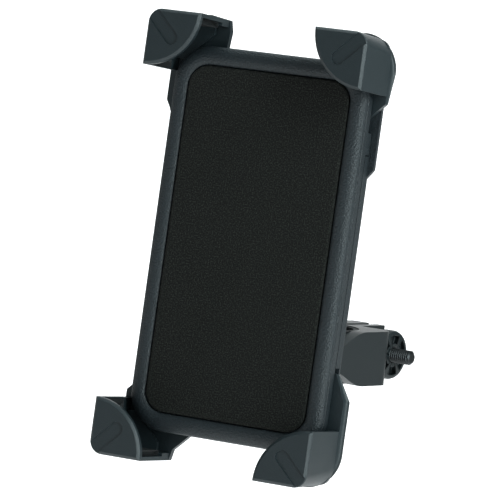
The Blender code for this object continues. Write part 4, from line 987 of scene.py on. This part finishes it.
class MOUNT_OT_inner_parts(bpy.types.Operator):
    """Finishes of the pieces inside: springs, ball seat and ring, lock wedge, nut"""
    bl_idname = "mount.inner_parts"
    bl_label = "Inner parts"

    def execute(self, context):
        slots = {row["node"]: row["material_slot"] for row in frame["record"]["subparts"]}
        for name, node in frame["nodes"].items():
            if not node.hide_render:
                node.data.materials.clear()
                node.data.materials.append(finish(slots[name]))
        return {"FINISHED"}


# ---- stage --------------------------------------------------------------------------------
CAMERA_PLACE = Vector((0.432, -1.004, 0.012))
CAMERA_LOOK = Vector((-0.394, 0.919, -0.0115))
CAMERA_UP = Vector((-0.132, -0.044, 0.990))
CAMERA_LENS = 252.0      # millimetres, on a 36 mm sensor
FLOOR_DROP = 0.5         # floor below the mount
SHEET = 0.01             # thickness of the floor and the backdrop
# name, place, what it faces, width and height, watts
LIGHTS = (("key", (0.9, -0.5, 0.7), (0, 0, 0), (0.6, 0.6), 9),
          ("side", (0.9, 0.25, 0.1), (0, 0.02, 0), (0.4, 0.8), 1),
          ("front", (1.0, -0.5, 0.1), (0, 0, 0), (0.2, 0.8), 9),
          ("top", (0.0, 0.1, 0.9), (0, 0, 0), (0.8, 0.5), 6))


def area_light(name, place, target, size, watts, tint=(0.84, 0.98, 1)):
    light = bpy.data.lights.new(name, "AREA")
    light.energy = watts
    light.shape = "RECTANGLE"
    light.size, light.size_y = size
    light.color = tint
    lamp = bpy.data.objects.new(name, light)
    bpy.context.scene.collection.objects.link(lamp)
    lamp.location = place
    lamp.rotation_euler = (Vector(target) - Vector(place)).to_track_quat("-Z", "Y").to_euler()


class MOUNT_OT_stage(bpy.types.Operator):
    """Pale floor and backdrop, soft lights and the camera"""
    bl_idname = "mount.stage"
    bl_label = "Stage"

    def execute(self, context):
        scene = context.scene
        scene.view_settings.view_transform = "Standard"
        floor_z = CAD_BOX[0][2] - FLOOR_DROP
        grounds = []
        for name, low, high in (("floor", (-6, -6, floor_z - SHEET), (6, 6, floor_z)),
                                ("backdrop", (-3.2, 2.6, floor_z), (0.1, 2.6 + SHEET, floor_z + 3))):
            mesh = bpy.data.meshes.new(name)
            sheet = block(low, high)
            sheet.to_mesh(mesh)
            sheet.free()
            ground = bpy.data.objects.new(name, mesh)
            scene.collection.objects.link(ground)
            grounds.append(mesh)
        paper, shader, _ = new_finish("paper")
        shader.inputs["Base Color"].default_value = (*scene.mount_colours.backdrop, 1)
        shader.inputs["Roughness"].default_value = 0.9
        shader.inputs["Emission Color"].default_value = (1, 1, 1, 1)
        shader.inputs["Emission Strength"].default_value = 0.75
        for mesh in grounds:
            mesh.materials.append(paper)

        world = bpy.data.worlds.new("studio")
        world.use_nodes = True
        background = world.node_tree.nodes["Background"]
        background.inputs["Color"].default_value = (0.80, 0.97, 1, 1)
        background.inputs["Strength"].default_value = 0.22
        scene.world = world
        for light in LIGHTS:
            area_light(*light)

        lens = bpy.data.cameras.new("camera")
        lens.lens = CAMERA_LENS
        lens.sensor_width = 36
        lens.clip_start = 0.05
        lens.clip_end = 30
        camera = bpy.data.objects.new("camera", lens)
        scene.collection.objects.link(camera)
        right = CAMERA_LOOK.cross(CAMERA_UP).normalized()
        up = right.cross(CAMERA_LOOK).normalized()
        turn = Matrix((right, up, -CAMERA_LOOK.normalized())).transposed()
        camera.matrix_world = Matrix.Translation(CAMERA_PLACE) @ turn.to_4x4()
        scene.camera = camera
        return {"FINISHED"}


# ---- add-on -------------------------------------------------------------------------------
OPERATORS = (MOUNT_OT_pad, MOUNT_OT_covers, MOUNT_OT_claws, MOUNT_OT_screws, MOUNT_OT_lock,
             MOUNT_OT_ball_joint, MOUNT_OT_clamp, MOUNT_OT_inner_parts, MOUNT_OT_stage)


class MOUNT_PT_build(bpy.types.Panel):
    """Sizes, colours and the steps that build the mount"""
    bl_idname = "MOUNT_PT_build"
    bl_label = "Phone Handlebar Mount"
    bl_space_type = "VIEW_3D"
    bl_region_type = "UI"
    bl_category = "Mount"

    def draw(self, context):
        for group in (context.scene.mount_sizes, context.scene.mount_colours):
            column = self.layout.column(align=True)
            for name in group.__annotations__:
                column.prop(group, name)
        for operator in OPERATORS:
            self.layout.operator(operator.bl_idname)


CLASSES = (MountSizes, MountColours, *OPERATORS, MOUNT_PT_build)


def register():
    for cls in CLASSES:
        bpy.utils.register_class(cls)
    bpy.types.Scene.mount_sizes = PointerProperty(type=MountSizes)
    bpy.types.Scene.mount_colours = PointerProperty(type=MountColours)


def unregister():
    del bpy.types.Scene.mount_colours
    del bpy.types.Scene.mount_sizes
    for cls in reversed(CLASSES):
        bpy.utils.unregister_class(cls)


def main():
    register()
    for operator in OPERATORS:
        group, name = operator.bl_idname.split(".")
        getattr(getattr(bpy.ops, group), name)()


if __name__ == "__main__":
    main()
